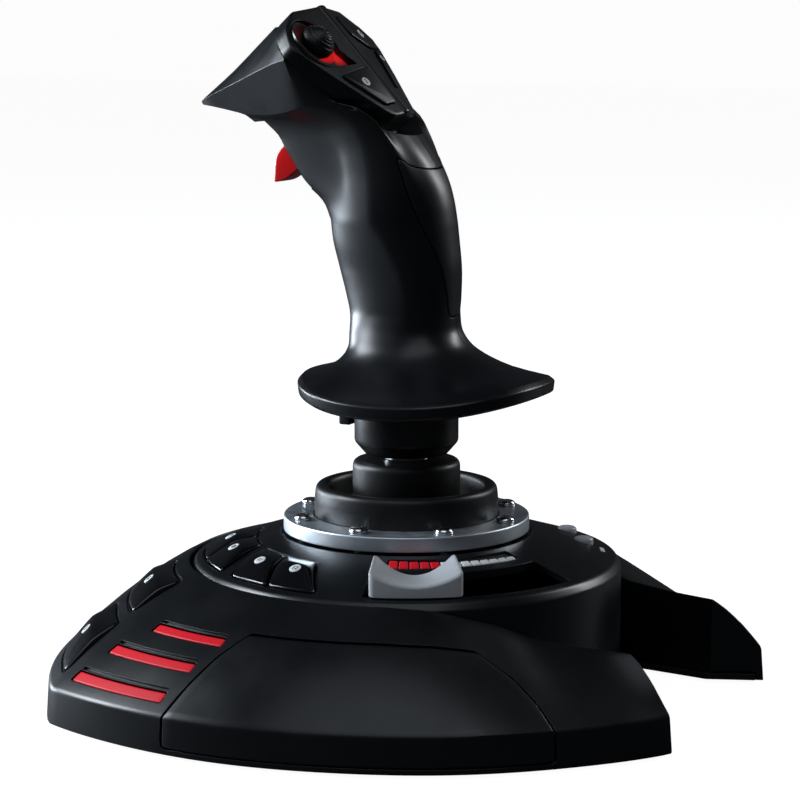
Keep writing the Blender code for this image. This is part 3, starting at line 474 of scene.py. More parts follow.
def outer_radius(degrees):
    away = abs(degrees)
    if away >= CORNER_DEG:
        return smooth_curve(SIDE_RADII, away)
    centre = FRONT_Y - FRONT_RADIUS
    along = centre * math.cos(math.radians(away))
    return along + math.sqrt(along**2 - centre**2 + FRONT_RADIUS**2)


def inner_radius(degrees):
    away = abs(degrees)
    if away < 135:
        return SHELL_INNER_R
    sine, cosine = math.sin(math.radians(away)), math.cos(math.radians(away))
    run_x, run_y = NOTCH_END[0] - NOTCH_START[0], NOTCH_END[1] - NOTCH_START[1]
    reach = (NOTCH_START[0] * run_y - NOTCH_START[1] * run_x) / (sine * run_y - cosine * run_x)
    return max(SHELL_INNER_R, reach)


def rim_height(degrees):
    return float(np.interp(abs(degrees), *np.array(RIM_HEIGHTS).T))


def slope_rz(degrees, share):
    """Radius and height on the shell's outside: share 0 is the crease, 1 the rim, and -1 the wall's foot."""
    outer = outer_radius(degrees)
    if share < 0:
        return outer - CREASE_STEP * (1 + share), CREASE_Z + share * (CREASE_Z - SHELL_FLOOR)
    top_r = outer - CREASE_STEP
    swell = 0.6 * share + 0.4 * (1 - (1 - share) ** 2)
    return (top_r + share * (inner_radius(degrees) - top_r),
            CREASE_Z + swell * (rim_height(degrees) - CREASE_Z))


def slope_point(degrees, share):
    radius, z = slope_rz(degrees, share)
    return at_angle(radius, degrees, z)


def turret_height(radius):
    return TURRET_TOP - TURRET_FALL * (max(radius, RING_R) - RING_R)


def turret_point(degrees, radius):
    return at_angle(radius, degrees, turret_height(radius))


def row_at(rows, share):
    place = share * (len(rows) - 1)
    i = min(max(int(place), 0), len(rows) - 2)
    return [a + (b - a) * (place - i) for a, b in zip(rows[i], rows[i + 1])]


def spread(length, edge, count):
    """Shares from 0 to 1, close together within an edge's width of both ends."""
    fine = [min(edge / length, 0.3) * k for k in (0, 0.08, 0.3, 0.62, 1)]
    return fine + list(np.linspace(fine[-1], 1 - fine[-1], count))[1:-1] + [1 - f for f in fine[::-1]]


def patch(surface, rows, corner=0.0012, grow=0.0, edge=0.0005, lines=12, columns=24):
    """A fine grid on a surface between its rows, with round corners; grow widens it all round.

    Returns the grid, each point's distance from the border, and its shares across and up."""
    middle = [Vector(surface((a + b) / 2, v)) for v, a, b in rows]
    height = sum((p - q).length for p, q in zip(middle, middle[1:]))
    _, a, b = row_at(rows, 0.5)
    width = (Vector(surface(a, row_at(rows, 0.5)[0])) - Vector(surface(b, row_at(rows, 0.5)[0]))).length
    grown_h, grown_w, round_r = height + 2 * grow, width + 2 * grow, corner + grow
    grid, depths, shares = [], [], []
    for up in spread(grown_h, max(edge, round_r / 2), lines):
        from_end = min(up, 1 - up) * grown_h
        inset = 0
        if from_end < round_r:
            inset = round_r - math.sqrt(max(0.0, round_r**2 - (round_r - from_end) ** 2))
        value, a, b = row_at(rows, (up * grown_h - grow) / height)
        row, row_depths, row_shares = [], [], []
        for u in spread(grown_w, edge, columns):
            across = (inset + u * (grown_w - 2 * inset) - grow) / width
            row.append(Vector(surface(a + (b - a) * across, value)))
            px = abs(across - 0.5) * width - (grown_w / 2 - round_r)
            py = grown_h / 2 - from_end - (grown_h / 2 - round_r)
            outside = math.hypot(max(px, 0), max(py, 0)) + min(max(px, py), 0)
            row_depths.append(max(round_r - outside, 0.0))
            row_shares.append((across, (up * grown_h - grow) / height))
        grid.append(row)
        depths.append(row_depths)
        shares.append(row_shares)
    return grid, np.array(depths), np.array(shares)


def rounding(depths, radius):
    """How far a rounded border drops at each distance from it."""
    near = np.clip(1 - depths / radius, 0, 1)
    return radius * (1 - np.sqrt(np.maximum(0.0, 1 - near**2)))


def sheet_normal(grid):
    normal = (grid[-1][0] - grid[0][-1]).cross(grid[-1][-1] - grid[0][0]).normalized()
    return normal if normal.z > 0 else -normal


def patch_cutter(name, surface, rows, low, high, grow, direction=None, corner=0.0012):
    return loose(name, slab(patch(surface, rows, corner, grow)[0], low, high, direction))


# ---------------------------------------------------------------- base

def band(first, last, start, end):
    """Rows of a patch between two shares or radii, with the same angles at both."""
    return [(first, start, end), (last, start, end)]


def mirrored(rows, sign):
    return [(v, sign * a, sign * b) for v, a, b in rows]


def bar_rows(share, start, end, sign):
    return band(share - BAR_HALF_SHARE, share + BAR_HALF_SHARE, sign * start, sign * end)


def rounded_end(loop, neighbour):
    """Two loops that round off an end: the end loop drawn in a little, and a smaller one beyond it."""
    middle = sum(loop, Vector()) / len(loop)
    back = (loop[0] - neighbour[0]).normalized() * 0.0004
    return [[p - back + (middle - p).normalized() * 0.0001 for p in loop],
            [p + (middle - p).normalized() * 0.0006 for p in loop]]


def make_shell():
    steps = 180
    angles = [TIP_DEG * (2 * i / steps - 1) for i in range(steps + 1)]
    shares = (0.0, 0.12, 0.25, 0.4, 0.55, 0.7, 0.85, 1.0)
    radii = [0.0003, 0.0012] + [0] * 6 + [0.0011, 0, 0, 0]
    loops = []
    for degrees in angles:
        inner, outer = inner_radius(degrees), outer_radius(degrees)
        profile = [(outer, SHELL_FLOOR)] + [slope_rz(degrees, share) for share in shares]
        profile += [(inner, INNER_FLOOR), (outer - WALL, INNER_FLOOR), (outer - WALL, SHELL_FLOOR)]
        loops.append([at_angle(r, degrees, z) for r, z in fillet(profile, radii)])
    loops = rounded_end(loops[0], loops[1])[::-1] + loops[1:-1] + rounded_end(loops[-1], loops[-2])
    shell = loose("base_shell_skin", skin(loops))
    hollow = []
    for degrees in angles:
        held = max(-TIP_DEG + 1.3, min(TIP_DEG - 1.3, degrees))
        outer, inner = outer_radius(held) - WALL - CREASE_STEP, inner_radius(held) + WALL
        loop = [at_angle(outer, held, -0.002), at_angle(outer, held, CREASE_Z - WALL)]
        for share in (0.3, 0.65, 1.0):
            radius, z = slope_rz(held, share)
            loop.append(at_angle(min(max(radius, inner), outer - 0.001), held, z - WALL * 1.15))
        loop.append(at_angle(inner, held, -0.002))
        hollow.append(loop)
    cutters = [loose("hollow", skin(hollow))]
    for key, rows in SLOPE_KEYS.items():
        normal = sheet_normal(patch(slope_point, rows)[0])
        cutters.append(patch_cutter(f"key_{key}_hole", slope_point, rows, -0.0095, 0.006, 0.0004, normal))
        wide = patch(slope_point, rows, 0.0016, 0.0011)[0]
        cutters.append(loose(f"key_{key}_notch", slab(wide, -0.0005, 0.002)))
    for sign in (-1, 1):
        for i, bar in enumerate(BARS):
            rows = bar_rows(*bar, sign)
            cutters.append(patch_cutter(f"bar_{sign}_{i}", slope_point, rows, -0.0048, 0.002, 0.0004,
                                        corner=0.0004))
            share, start, end = bar
            above = band(share + 0.040, share + 0.062, sign * start, sign * end)
            cutters.append(patch_cutter(f"bar_shade_{sign}_{i}", slope_point, above, -0.0010, 0.002, 0.0,
                                        corner=0.0002))
        cutters.append(patch_cutter(f"panel_{sign}", slope_point, mirrored(PANEL_ROWS, sign), -0.0014, 0.002,
                                    0.0006, corner=0.0018))
    gland_z = 0.0074
    cutters.append(loose("gland_hole", rod((0, 0.0990, gland_z), (0, 0.1130, gland_z), 0.0040)))
    carve(shell, cutters, sharp=28)
    finish_piece(shell, "black", "base", "base_shell")


def make_side_inlays():
    for side, sign in SIDES:
        backing = [(0.10, sign * 62, sign * 72), (0.33, sign * 62, sign * 72), (0.54, sign * 63, sign * 72)]
        grid = patch(slope_point, backing, lines=8)[0]
        insert = loose(f"red_inlay_{side}_skin", slab(grid, -0.0046, -0.0034))
        bars = []
        for i, bar in enumerate(BARS):
            grid, depths, _ = patch(slope_point, bar_rows(*bar, sign), 0.0004, edge=0.0004)
            bars.append(loose(f"bar_{i}", slab(grid, -0.0040, -0.0003 - rounding(depths, 0.0004))))
        carve(insert, bars, "UNION")
        finish_piece(insert, "red", "base", f"red_inlay_{side}")
        grid, depths, _ = patch(slope_point, mirrored(PANEL_ROWS, sign), 0.0018, lines=26, columns=48)
        piece(f"wing_panel_{side}_skin", slab(grid, -0.0011, -rounding(depths, 0.0005)), "black", "base",
              f"wing_panel_{side}")


def make_turret():
    profile = [
        (TURRET_R, INNER_FLOOR), (TURRET_R, 0.0398), (0.0684, turret_height(0.0684)),
        (0.0555, turret_height(0.0555)), (RING_R + 0.0012, turret_height(RING_R + 0.0012)),
        (RING_R + 0.0004, TURRET_TOP - 0.0012), (0.0296, TURRET_TOP - 0.0012), (0.0295, 0.0484),
        (RING_R, 0.0480), (0.0670, 0.0405), (TURRET_R - WALL, 0.0385), (TURRET_R - WALL, INNER_FLOOR),
    ]
    radii = [0, 0.0006, 0.0010, 0, 0.0003, 0, 0, 0, 0, 0, 0, 0]
    turret = loose("turret_skin", turned(fillet(profile, radii), 180))
    cutters = []
    for first, last in ((9, 10), (11, 12)):
        pocket = [(v, b_last, a_first) for (v, _, a_first), (_, b_last, _) in
                  zip(TURRET_KEYS[first], TURRET_KEYS[last])]
        cutters.append(patch_cutter(f"pocket_{first}", turret_point, pocket, -0.0006, 0.002, 0.0010,
                                    UP, corner=0.0018))
    for key, rows in TURRET_KEYS.items():
        normal = sheet_normal(patch(turret_point, rows)[0])
        cutters.append(patch_cutter(f"key_{key}_hole", turret_point, rows, -0.0095, 0.006, 0.0004, normal))
    cutters.append(patch_cutter("throttle_slot", turret_point, SLOT_ROWS, -0.012, 0.006, 0.0, UP))
    scale_rows = band(*SCALE_R, *SCALE_DEG)
    cutters.append(patch_cutter("scale_pocket", turret_point, scale_rows, -0.0016, 0.004, 0.0004, UP, 0.0008))
    for x, y in SMALL_KEYS.values():
        z = turret_height(math.hypot(x, y))
        cutters.append(loose("small_key_hole", rod((x, y, z - 0.008), (x, y, z + 0.006), 0.0037)))
    cutters.append(patch_cutter("lens_hole", turret_point, LENS_ROWS, -0.006, 0.004, 0.0003, UP, 0.0004))
    carve(turret, cutters)
    finish_piece(turret, "black", "base", "turret_housing")


def numeral(name, text, size, matrix, body):
    """A plain dark numeral, lying on the XY plane of the matrix and read along its X axis."""
    curve = bpy.data.curves.new(name, "FONT")
    curve.body = text
    curve.size = size
    curve.align_x = "CENTER"
    curve.align_y = "CENTER"
    curve.extrude = 0.00006
    curve.resolution_u = 6
    text_obj = add_object(name, curve)
    graph = bpy.context.evaluated_depsgraph_get()
    mesh = bpy.data.meshes.new_from_object(text_obj.evaluated_get(graph))
    bpy.data.objects.remove(text_obj, do_unlink=True)
    bm = bmesh.new()
    bm.from_mesh(mesh)
    bpy.data.meshes.remove(mesh)
    piece(name, placed(bm, matrix), "numeral", body)


def disc_with_numeral(name, text, matrix, body, radius=0.00165):
    """An off-white printed disc, a hair proud of the surface that the matrix stands on."""
    profile = fillet([(radius, -0.0003), (radius, 0.00012), (0.0002, 0.00012)], [0, 0.0001, 0])
    piece(f"{name}_disc", solid_turned(profile, 48, matrix), "white", body)
    numeral(f"{name}_numeral", text, radius * (1.45 if len(text) == 1 else 1.2),
            matrix @ Matrix.Translation((0, 0, 0.00015)), body)


def surface_matrix(point, normal, towards):
    """A frame at a point: Z along the normal, Y as near as possible to a direction."""
    z = Vector(normal).normalized()
    x = Vector(towards).cross(z).normalized()
    y = z.cross(x)
    matrix = Matrix((x, y, z)).transposed().to_4x4()
    matrix.translation = point
    return matrix


def make_key(number, surface, rows, rise):
    """A sail-shaped key top: a long front facet up to a curved crest, and a short steep facet behind it."""
    name = f"base_key_{number}"
    grid, depths, shares = patch(surface, rows, 0.0012, edge=0.0006, lines=22, columns=34)
    normal = sheet_normal(grid)
    across, up = shares[..., 0], shares[..., 1]
    crest = 0.66 - 0.10 * (2 * across - 1) ** 2
    front = np.clip(up / crest, 0, 1)
    back = np.clip((1 - up) / (1 - crest), 0, 1)
    soft = 1 / ((1 / np.maximum(front, 0.02) ** 9 + 1 / np.maximum(back, 0.02) ** 9) ** (1 / 9))
    bulge = 1 - 0.55 * np.abs(2 * across - 1) ** 3
    top = 0.0004 + rise * soft**0.9 * bulge - rounding(depths, 0.0006)
    piece(f"{name}_cap", slab(grid, -0.0052, top, normal), "gloss", name, name, sharp=40)
    i = int(np.argmin(abs(up[:, 0] - 0.52)))
    j = int(np.argmin(abs(across[i] - 0.42)))
    middle, beside, above = [grid[row][column] + normal * float(top[row, column])
                             for row, column in ((i, j), (i, j - 3), (i + 3, j))]
    facing = (beside - middle).cross(above - middle).normalized()
    facing = facing if facing.z > 0 else -facing
    inward = -Vector((middle.x, middle.y, 0))
    disc_with_numeral(f"key_{number}", str(number), surface_matrix(middle, facing, inward), name, 0.0019)


def make_keys():
    for number, rows in SLOPE_KEYS.items():
        make_key(number, slope_point, rows, 0.0026)
    for number, rows in TURRET_KEYS.items():
        make_key(number, turret_point, rows, 0.0022)


def make_turret_details():
    for name, (x, y) in SMALL_KEYS.items():
        profile = rounded([(3.3, -5), (3.3, 0.7, 0.4), (2.8, 1.3, 0.5), (1.4, 1.7, 0.6), (0.2, 1.8)])
        place = Matrix.Translation((x, y, turret_height(math.hypot(x, y))))
        piece(f"{name}_cap", solid_turned(profile, 48, place), "silver", name, name)
    grid, depths, _ = patch(turret_point, LENS_ROWS, 0.0004, edge=0.0003)
    piece("status_lens_cap", slab(grid, -0.0018, 0.0001 - rounding(depths, 0.0003), UP), "white", "base",
          "status_lens")
    grid = patch(turret_point, band(*SCALE_R, *SCALE_DEG), 0.0008, lines=6)[0]
    piece("scale_bed", slab(grid, -0.0012, -0.0007, UP), "matte", "base", "throttle_scale")
    first, last = SCALE_DEG
    blocks, reds, gap = 13, 5, 0.55
    step = (last - first) / blocks
    outer, inner = SCALE_R
    for i in range(blocks):
        end = last - i * step
        thin = 1 - 0.62 * i / (blocks - 1)
        top = outer - 0.0002
        rows = band(top, top - (outer - inner - 0.0004) * thin, end - step + gap, end - 0.1)
        grid, depths, _ = patch(turret_point, rows, 0.0003, edge=0.0003, lines=5, columns=6)
        colour, slot_name = ("red", "red_plastic") if i < reds else ("white", "silver_plastic")
        block = slab(grid, -0.0009, -rounding(depths, 0.0003), UP)
        piece(f"scale_block_{i + 1}", block, colour, "base")


def make_clamp():
    ring = rounded([(30.2, 52.6), (33.4, 52.6), (33.4, 51.2), (40, 51.2, 0.4), (40, 56.1, 0.7),
                    (30.2, 56.1, 0.5)])
    obj = loose("clamp_ring_turned", turned(ring, 160))
    places = [Matrix.Translation(at_angle(SCREW_CIRCLE_R, 180 + 360 / RING_SCREWS * i, RING_TOP))
              for i in range(RING_SCREWS)]
    well = [(0.0019, -0.010), (0.0019, 0.004)]
    carve(obj, [loose("well", solid_turned(well, 32, place)) for place in places])
    finish_piece(obj, "ring", "base", "clamp_ring")
    head = rounded([(1.3, -12), (1.3, 0.2), (3, 0.2, 0.1), (3, 1, 0.6), (2.1, 1.8, 0.8), (0.2, 1.9)])
    for i, place in enumerate(places, 1):
        turn = Matrix.Rotation(math.radians(17 * i), 4, "Z")
        screw = loose(f"ring_screw_{i}_head", solid_turned(head, 48, place))
        recess = []
        for half_x, half_y in ((0.00135, 0.00028), (0.00028, 0.00135)):
            outline = [(-half_x, -half_y), (half_x, -half_y), (half_x, half_y), (-half_x, half_y)]
            recess.append(loose("recess", prism(outline, 0.0008, 0.003, place @ turn)))
        carve(screw, recess)
        finish_piece(screw, "chrome", "base", f"ring_screw_{i}")
    boot = rounded([
        (27.6, 51.2), (33.1, 51.2), (33.1, 52.3), (29.9, 52.3, 0.3), (29.9, 61.2, 1), (29.4, 66, 2.1),
        (25.4, 66, 2.1), (24.9, 61.2, 1.2), (24.6, 57.4, 0.8), (22.3, 57.2, 0.4), (22.3, 56, 0.4), (27.6, 56),
    ], 6)
    piece("boot_turned", turned(boot, 160), "rubber", "base", "boot")


def make_stick():
    lift = PIVOT_Z
    collar = rounded([(14.8, 11.2), (17.2, 11.2), (17.5, 19.5, 2), (17.5, 28.1, 2.6), (7.9, 28.1, 0.3),
                      (7.9, 26.2), (14.8, 25, 0.8)], 6)
    piece("boot_collar_turned", turned([(r, z + lift) for r, z in collar]), "rubber", "stick",
          "boot_collar")
    cap_r, thick = 0.0238, 0.0007
    start, end = 47, 67  # degrees down from the stick's axis
    cap = [(r * math.sin(math.radians(a)), lift + r * math.cos(math.radians(a)))
           for r, sweep in ((cap_r, range(start, end + 1, 2)), (cap_r - thick, range(end, start - 1, -2)))
           for a in sweep]
    piece("boot_membrane", turned(cap), "matte", "stick")
    shaft = rounded([(4.5, -24), (4.5, -7), (9, -6, 0.5), (9, 6, 0.5), (7.5, 7), (7.5, 66)], closed=False)
    obj = loose("stick_shaft_turned", solid_turned([(r, z + lift) for r, z in shaft]))
    carve(obj, [loose("pins", rod((0, -0.0240, lift), (0, 0.0240, lift), 0.0018))], "UNION")
    finish_piece(obj, "shaft", "stick", "stick_shaft")
    neck = rounded([(7.9, 76), (13.4, 76, 0.5), (16.9, 80, 0.9), (16.9, 94.6, 0.3), (7.9, 94.6)])
    piece("neck_turned", turned(neck), "black", "stick", "neck")
    outline = rounded([(-6.5, 17.3), (6.5, 17.3), (6.5, 21.6, 1.2), (-6.5, 21.6, 1.2)])
    lock = loose("rudder_lock_tab", prism(outline, 0.0845, 0.0935))
    softened(lock, 0.0007)
    finish_piece(lock, "matte", "rudder_lock", "rudder_lock")


# ---------------------------------------------------------------- throttle

def make_throttle():
    start, end = THROTTLE_DEG - THROTTLE_HALF_DEG, THROTTLE_DEG + THROTTLE_HALF_DEG
    rows = band(*PADDLE_R, start, end)
    grid, depths, shares = patch(lambda degrees, radius: at_angle(radius, degrees), rows, 0.0016, edge=0.0009,
                                 lines=24, columns=48)
    across, inward = shares[..., 0], shares[..., 1]
    away = np.abs(2 * across - 1)
    top = 0.0468 + 0.0015 * inward + (0.0040 + 0.0030 * inward) * away**2 - rounding(depths, 0.0010)
    radii = np.array([[p.length for p in row] for row in grid])
    low = TURRET_TOP - TURRET_FALL * (radii - RING_R) + 0.0005
    piece("throttle_paddle_cap", slab(grid, low, np.maximum(top, low + 0.0006), UP), "silver", "throttle",
          "throttle_paddle", sharp=40)


# ---------------------------------------------------------------- grip

REST_SECTIONS = (  # height, centre in Y, half depth, half width, share of the saddle
    (0.0950, 0.0000, 0.0172, 0.0172, 0.0), (0.0966, -0.0066, 0.0386, 0.0366, 1.0),
    (0.0976, -0.0070, 0.0404, 0.0382, 1.0), (0.1010, -0.0070, 0.0408, 0.0386, 1.0),
    (0.1024, -0.0068, 0.0392, 0.0370, 1.0),
)
RISE_SECTIONS = (
    (0.1024, -0.0068, 0.0392, 0.0370, 1.0), (0.1042, -0.0058, 0.0312, 0.0292, 0.6),
    (0.1072, -0.0040, 0.0248, 0.0220, 0.3), (0.1105, -0.0020, 0.0208, 0.0178, 0.1),
    (0.1150, 0.0000, 0.0187, 0.0160, 0), (0.121, 0.0007, 0.0181, 0.0154, 0),
    (0.127, 0.0013, 0.0189, 0.0153, 0), (0.136, 0.0025, 0.0202, 0.0157, 0),
    (0.145, 0.0041, 0.0209, 0.0162, 0), (0.151, 0.0048, 0.0209, 0.0163, 0),
)
SADDLE_DROP = 0.0045
SQUARENESS = 2.25
SCOOP_Z = RISE_SECTIONS[-1][0]
# Loops round the head: points (x, y, z) in millimetres, at these shares of the way from the nose to the back.
HEAD_SHARES = (0, 0.02, 0.08, 0.14, 0.22, 0.32, 0.4, 0.48, 0.55, 0.62, 0.7, 0.8, 0.9, 1)
LOWER_EDGE = (
    (0, 74.6, 186.9), (-1.5, 72.4, 186.8), (-4.1, 63.9, 185.7), (-6.5, 56.8, 184.7), (-9.9, 48.4, 184.3),
    (-14.1, 39.6, 184.9), (-17.6, 33, 186.1), (-20.2, 27, 187.6), (-20.8, 21.6, 189.2), (-20.2, 16.4, 189.6),
    (-17.6, 8.6, 185.6), (-12.6, 1.2, 180.6), (-6.6, -2.6, 178.9), (0, -3.6, 178.5),
)
NOSE_EDGE = (
    (0, 75.2, 187.9), (-1.6, 73.6, 188.7), (-4.9, 68.2, 190.5), (-8.3, 62.2, 192.5), (-12.8, 54.8, 194.8),
    (-18.6, 45.4, 197.9), (-25.4, 34.6, 201.2), (-29.6, 28.3, 202.4), (-25.6, 23.5, 197.6),
    (-20.7, 18.4, 191.9), (-15, 12.8, 186.1), (-9.3, 7.7, 180.7), (-5.8, 6.3, 179.1), (0, 6.3, 179),
)
CROWN = (
    (0, 43.6, 212.2), (-2.2, 43.6, 212.2), (-7.5, 43.2, 212.3), (-11.6, 41, 212.3), (-15.8, 38.6, 211.6),
    (-22.2, 35.2, 208.8), (-26.6, 31.6, 205.6), (-29.6, 28.2, 202.8), (-25.6, 23.2, 197.8),
    (-20.6, 18.1, 192.3), (-14.9, 12.5, 186.4), (-9.2, 7.4, 181), (-5.8, 6.1, 179.4), (0, 6.1, 179.4),
)
SEAT = (
    (0, 37.4, 213.2), (-2.2, 37.4, 213.2), (-7.5, 37.3, 213.1), (-11.4, 37.2, 213.1), (-15.2, 37, 213),
    (-21.6, 34.9, 210.5), (-26.2, 31.2, 206.3), (-29.2, 28, 203), (-25.1, 23, 197.8), (-20.2, 17.9, 192.3),
    (-14.6, 12.3, 186.4), (-8.9, 7.3, 181), (-5.4, 6.1, 179.6), (0, 6.1, 179.6),
)
# How far out the scoop has come at a share of its height: under the nose, at the side and at the back.
NOSE_RISE = ((0, 0), (0.17, 0.07), (0.35, 0.25), (0.63, 0.44), (0.84, 0.59), (0.96, 0.80), (1, 1))
SIDE_RISE = ((0, 0), (0.25, 0.02), (0.5, 0.05), (0.75, 0.17), (0.90, 0.40), (0.97, 0.68), (1, 1))
BACK_RISE = ((0, 0), (0.22, 0.09), (0.42, 0.22), (0.63, 0.44), (0.85, 0.74), (1, 1))
HALF_STEPS = 56
# The ridge between the grip's front face and its side: height, share of the way round, and how far the front
# face is flattened towards the straight line up to it.
RIDGE = ((0.112, 0.62, 0.0), (0.122, 0.62, 0.30), (0.136, 0.60, 0.42), (0.146, 0.54, 0.46),
         (0.151, 0.50, 0.46))
FRONT_FACE_FROM = 0.06
HEAD_Z = 0.187  # nominal height of the head's lower edge
# The palm insert's edge: height, nominal degrees from the back.
PALM_REACH = ((0.1215, 14), (0.130, 20), (0.140, 29), (0.152, 45), (0.163, 55), (0.1735, 59.5))
TRIGGER_AT = (0.0310, 0.1770)
TRIGGER_SLOT = ((-0.0065, -0.0090), (-0.0065, 0.0065), (0.0060, 0.0065), (0.0250, 0.0045), (0.0200, -0.0210),
                (0.0090, -0.0210), (-0.0010, -0.0150))

# A thin core on the parting plane, inside the grip and clear of the trigger's slot: (y, z) in millimetres.
SEAM_CORE = ((-10, 115), (8, 115), (10, 136), (14, 151), (20, 162), (20, 184.5), (30, 186), (62, 188.5),
             (44, 204), (38, 205), (16, 186), (4, 176), (-6, 163), (-11, 150))


def oval_point(section, share):
    """A point of a grip section at a share of the way round, from +Y (0) along the left side to -Y (1)."""
    z, centre, depth, width, saddle = section
    angle = math.pi * share
    power = 2 / SQUARENESS
    sine, cosine = math.sin(angle), math.cos(angle)
    x = -width * abs(sine) ** power
    y = centre + math.copysign(abs(cosine) ** power, cosine) * depth
    return Vector((x, y, z - SADDLE_DROP * saddle * sine**2))


def section_point(section, share):
    """The same, with the front face flattened up to the ridge."""
    point = oval_point(section, share)
    heights, shares, amounts = np.array(RIDGE).T
    ridge = float(np.interp(section[0], heights, shares))
    amount = float(np.interp(section[0], heights, amounts))
    if not FRONT_FACE_FROM < share < ridge or amount == 0:
        return point
    start, end = oval_point(section, FRONT_FACE_FROM), oval_point(section, ridge)
    run = end - start
    along = (point - start).dot(run) / run.length_squared
    return point.lerp(start + run * along, amount)


def head_point(loop, share):
    return Vector([np.interp(share, HEAD_SHARES, values) for values in zip(*loop)]) * MM


def smooth_head_point(loop, share):
    return Vector([smooth_curve(list(zip(HEAD_SHARES, values)), share) for values in zip(*loop)]) * MM


def blend_share(value, low, high):
    t = min(max((value - low) / (high - low), 0), 1)
    return t * t * (3 - 2 * t)


def scoop_point(share, rise):
    """A point between the last grip section (rise 0) and the head's lower edge (rise 1)."""
    start, end = section_point(RISE_SECTIONS[-1], share), smooth_head_point(LOWER_EDGE, share)
    side = blend_share(share, 0.10, 0.34)
    back = blend_share(share, 0.55, 0.85)
    out = smooth_curve(NOSE_RISE, rise) * (1 - side)
    out += (smooth_curve(SIDE_RISE, rise) * (1 - back) + smooth_curve(BACK_RISE, rise) * back) * side
    return Vector((start.x + (end.x - start.x) * out, start.y + (end.y - start.y) * out,
                   start.z + (end.z - start.z) * rise))


def rise_section(z):
    return tuple([z] + [smooth_curve([(s[0], s[k]) for s in RISE_SECTIONS], z) for k in (1, 2, 3, 4)])


def grip_skin(share, height):
    """The grip's surface by share of the way round and nominal height, from the hand rest up to the head."""
    if height <= SCOOP_Z:
        return section_point(rise_section(height), share)
    return scoop_point(share, (height - SCOOP_Z) / (HEAD_Z - SCOOP_Z))


def whole_loop(half):
    """A closed loop from its left half, which runs from the front to the back."""
    return half + [Vector((-p.x, p.y, p.z)) for p in half[-2:0:-1]]


def round_shares():
    """Shares of the way round, on every corner of the head's loops and closer together at the nose."""
    made = []
    for a, b in zip(HEAD_SHARES, HEAD_SHARES[1:]):
        steps = max(2, round((b - a) * HALF_STEPS))
        made += [a + (b - a) * i / steps for i in range(steps)]
    return made + [1.0]


def grip_loops():
    shares = round_shares()
    loops = [whole_loop([section_point(s, t) for t in shares])
             for s in fillet(REST_SECTIONS, [0, 0.0008, 0.0006, 0.0006, 0.0008], 3, closed=False)]
    heights = list(np.linspace(RISE_SECTIONS[0][0], SCOOP_Z, 40))[1:]
    loops += [whole_loop([section_point(rise_section(z), t) for t in shares]) for z in heights]
    loops += [whole_loop([scoop_point(t, rise) for t in shares]) for rise in np.linspace(0, 1, 24)[1:]]
    sharp_loops = [whole_loop([smooth_head_point(LOWER_EDGE, t) for t in shares])]
    sharp_loops += [whole_loop([head_point(loop, t) for t in shares]) for loop in (NOSE_EDGE, CROWN, SEAT)]
    for low, high in zip(sharp_loops, sharp_loops[1:]):
        for k in (0.06, 0.25, 0.5, 0.75, 0.94, 1):
            loops.append([a.lerp(b, k) for a, b in zip(low, high)])
    middle = sum(loops[-1], Vector()) / len(loops[-1])
    for k in (0.1, 0.4, 0.7, 0.95):
        loops.append([a.lerp(middle, k) for a in sharp_loops[-1]])
    return loops


def palm_patch(grow):
    """The palm insert's patch on the back of the grip: its grid, border distances and outward normals."""
    rows = []
    low, high = PALM_REACH[0][0], PALM_REACH[-1][0]
    for k in range(13):
        z = low + (high - low) * k / 12
        reach = smooth_curve(PALM_REACH, z) / 180
        rows.append((z, 1 - reach, 1 + reach))

    def surface(share, height):
        point = grip_skin(share if share <= 1 else 2 - share, height)
        return point if share <= 1 else Vector((-point.x, point.y, point.z))
    grid, depths, _ = patch(surface, rows, 0.0030, grow, edge=0.0006, lines=40, columns=60)
    normals = outward_normals(np.array(grid, float))
    # Round corners squeeze the end rows, so those take their normals from a row further in.
    normals[:4], normals[-4:] = normals[4], normals[-5]
    return grid, depths, normals


def side_prism(outline, half_width, at):
    y0, z0 = at
    return skin([[Vector((x, y0 + y, z0 + z)) for y, z in outline] for x in (-half_width, half_width)])


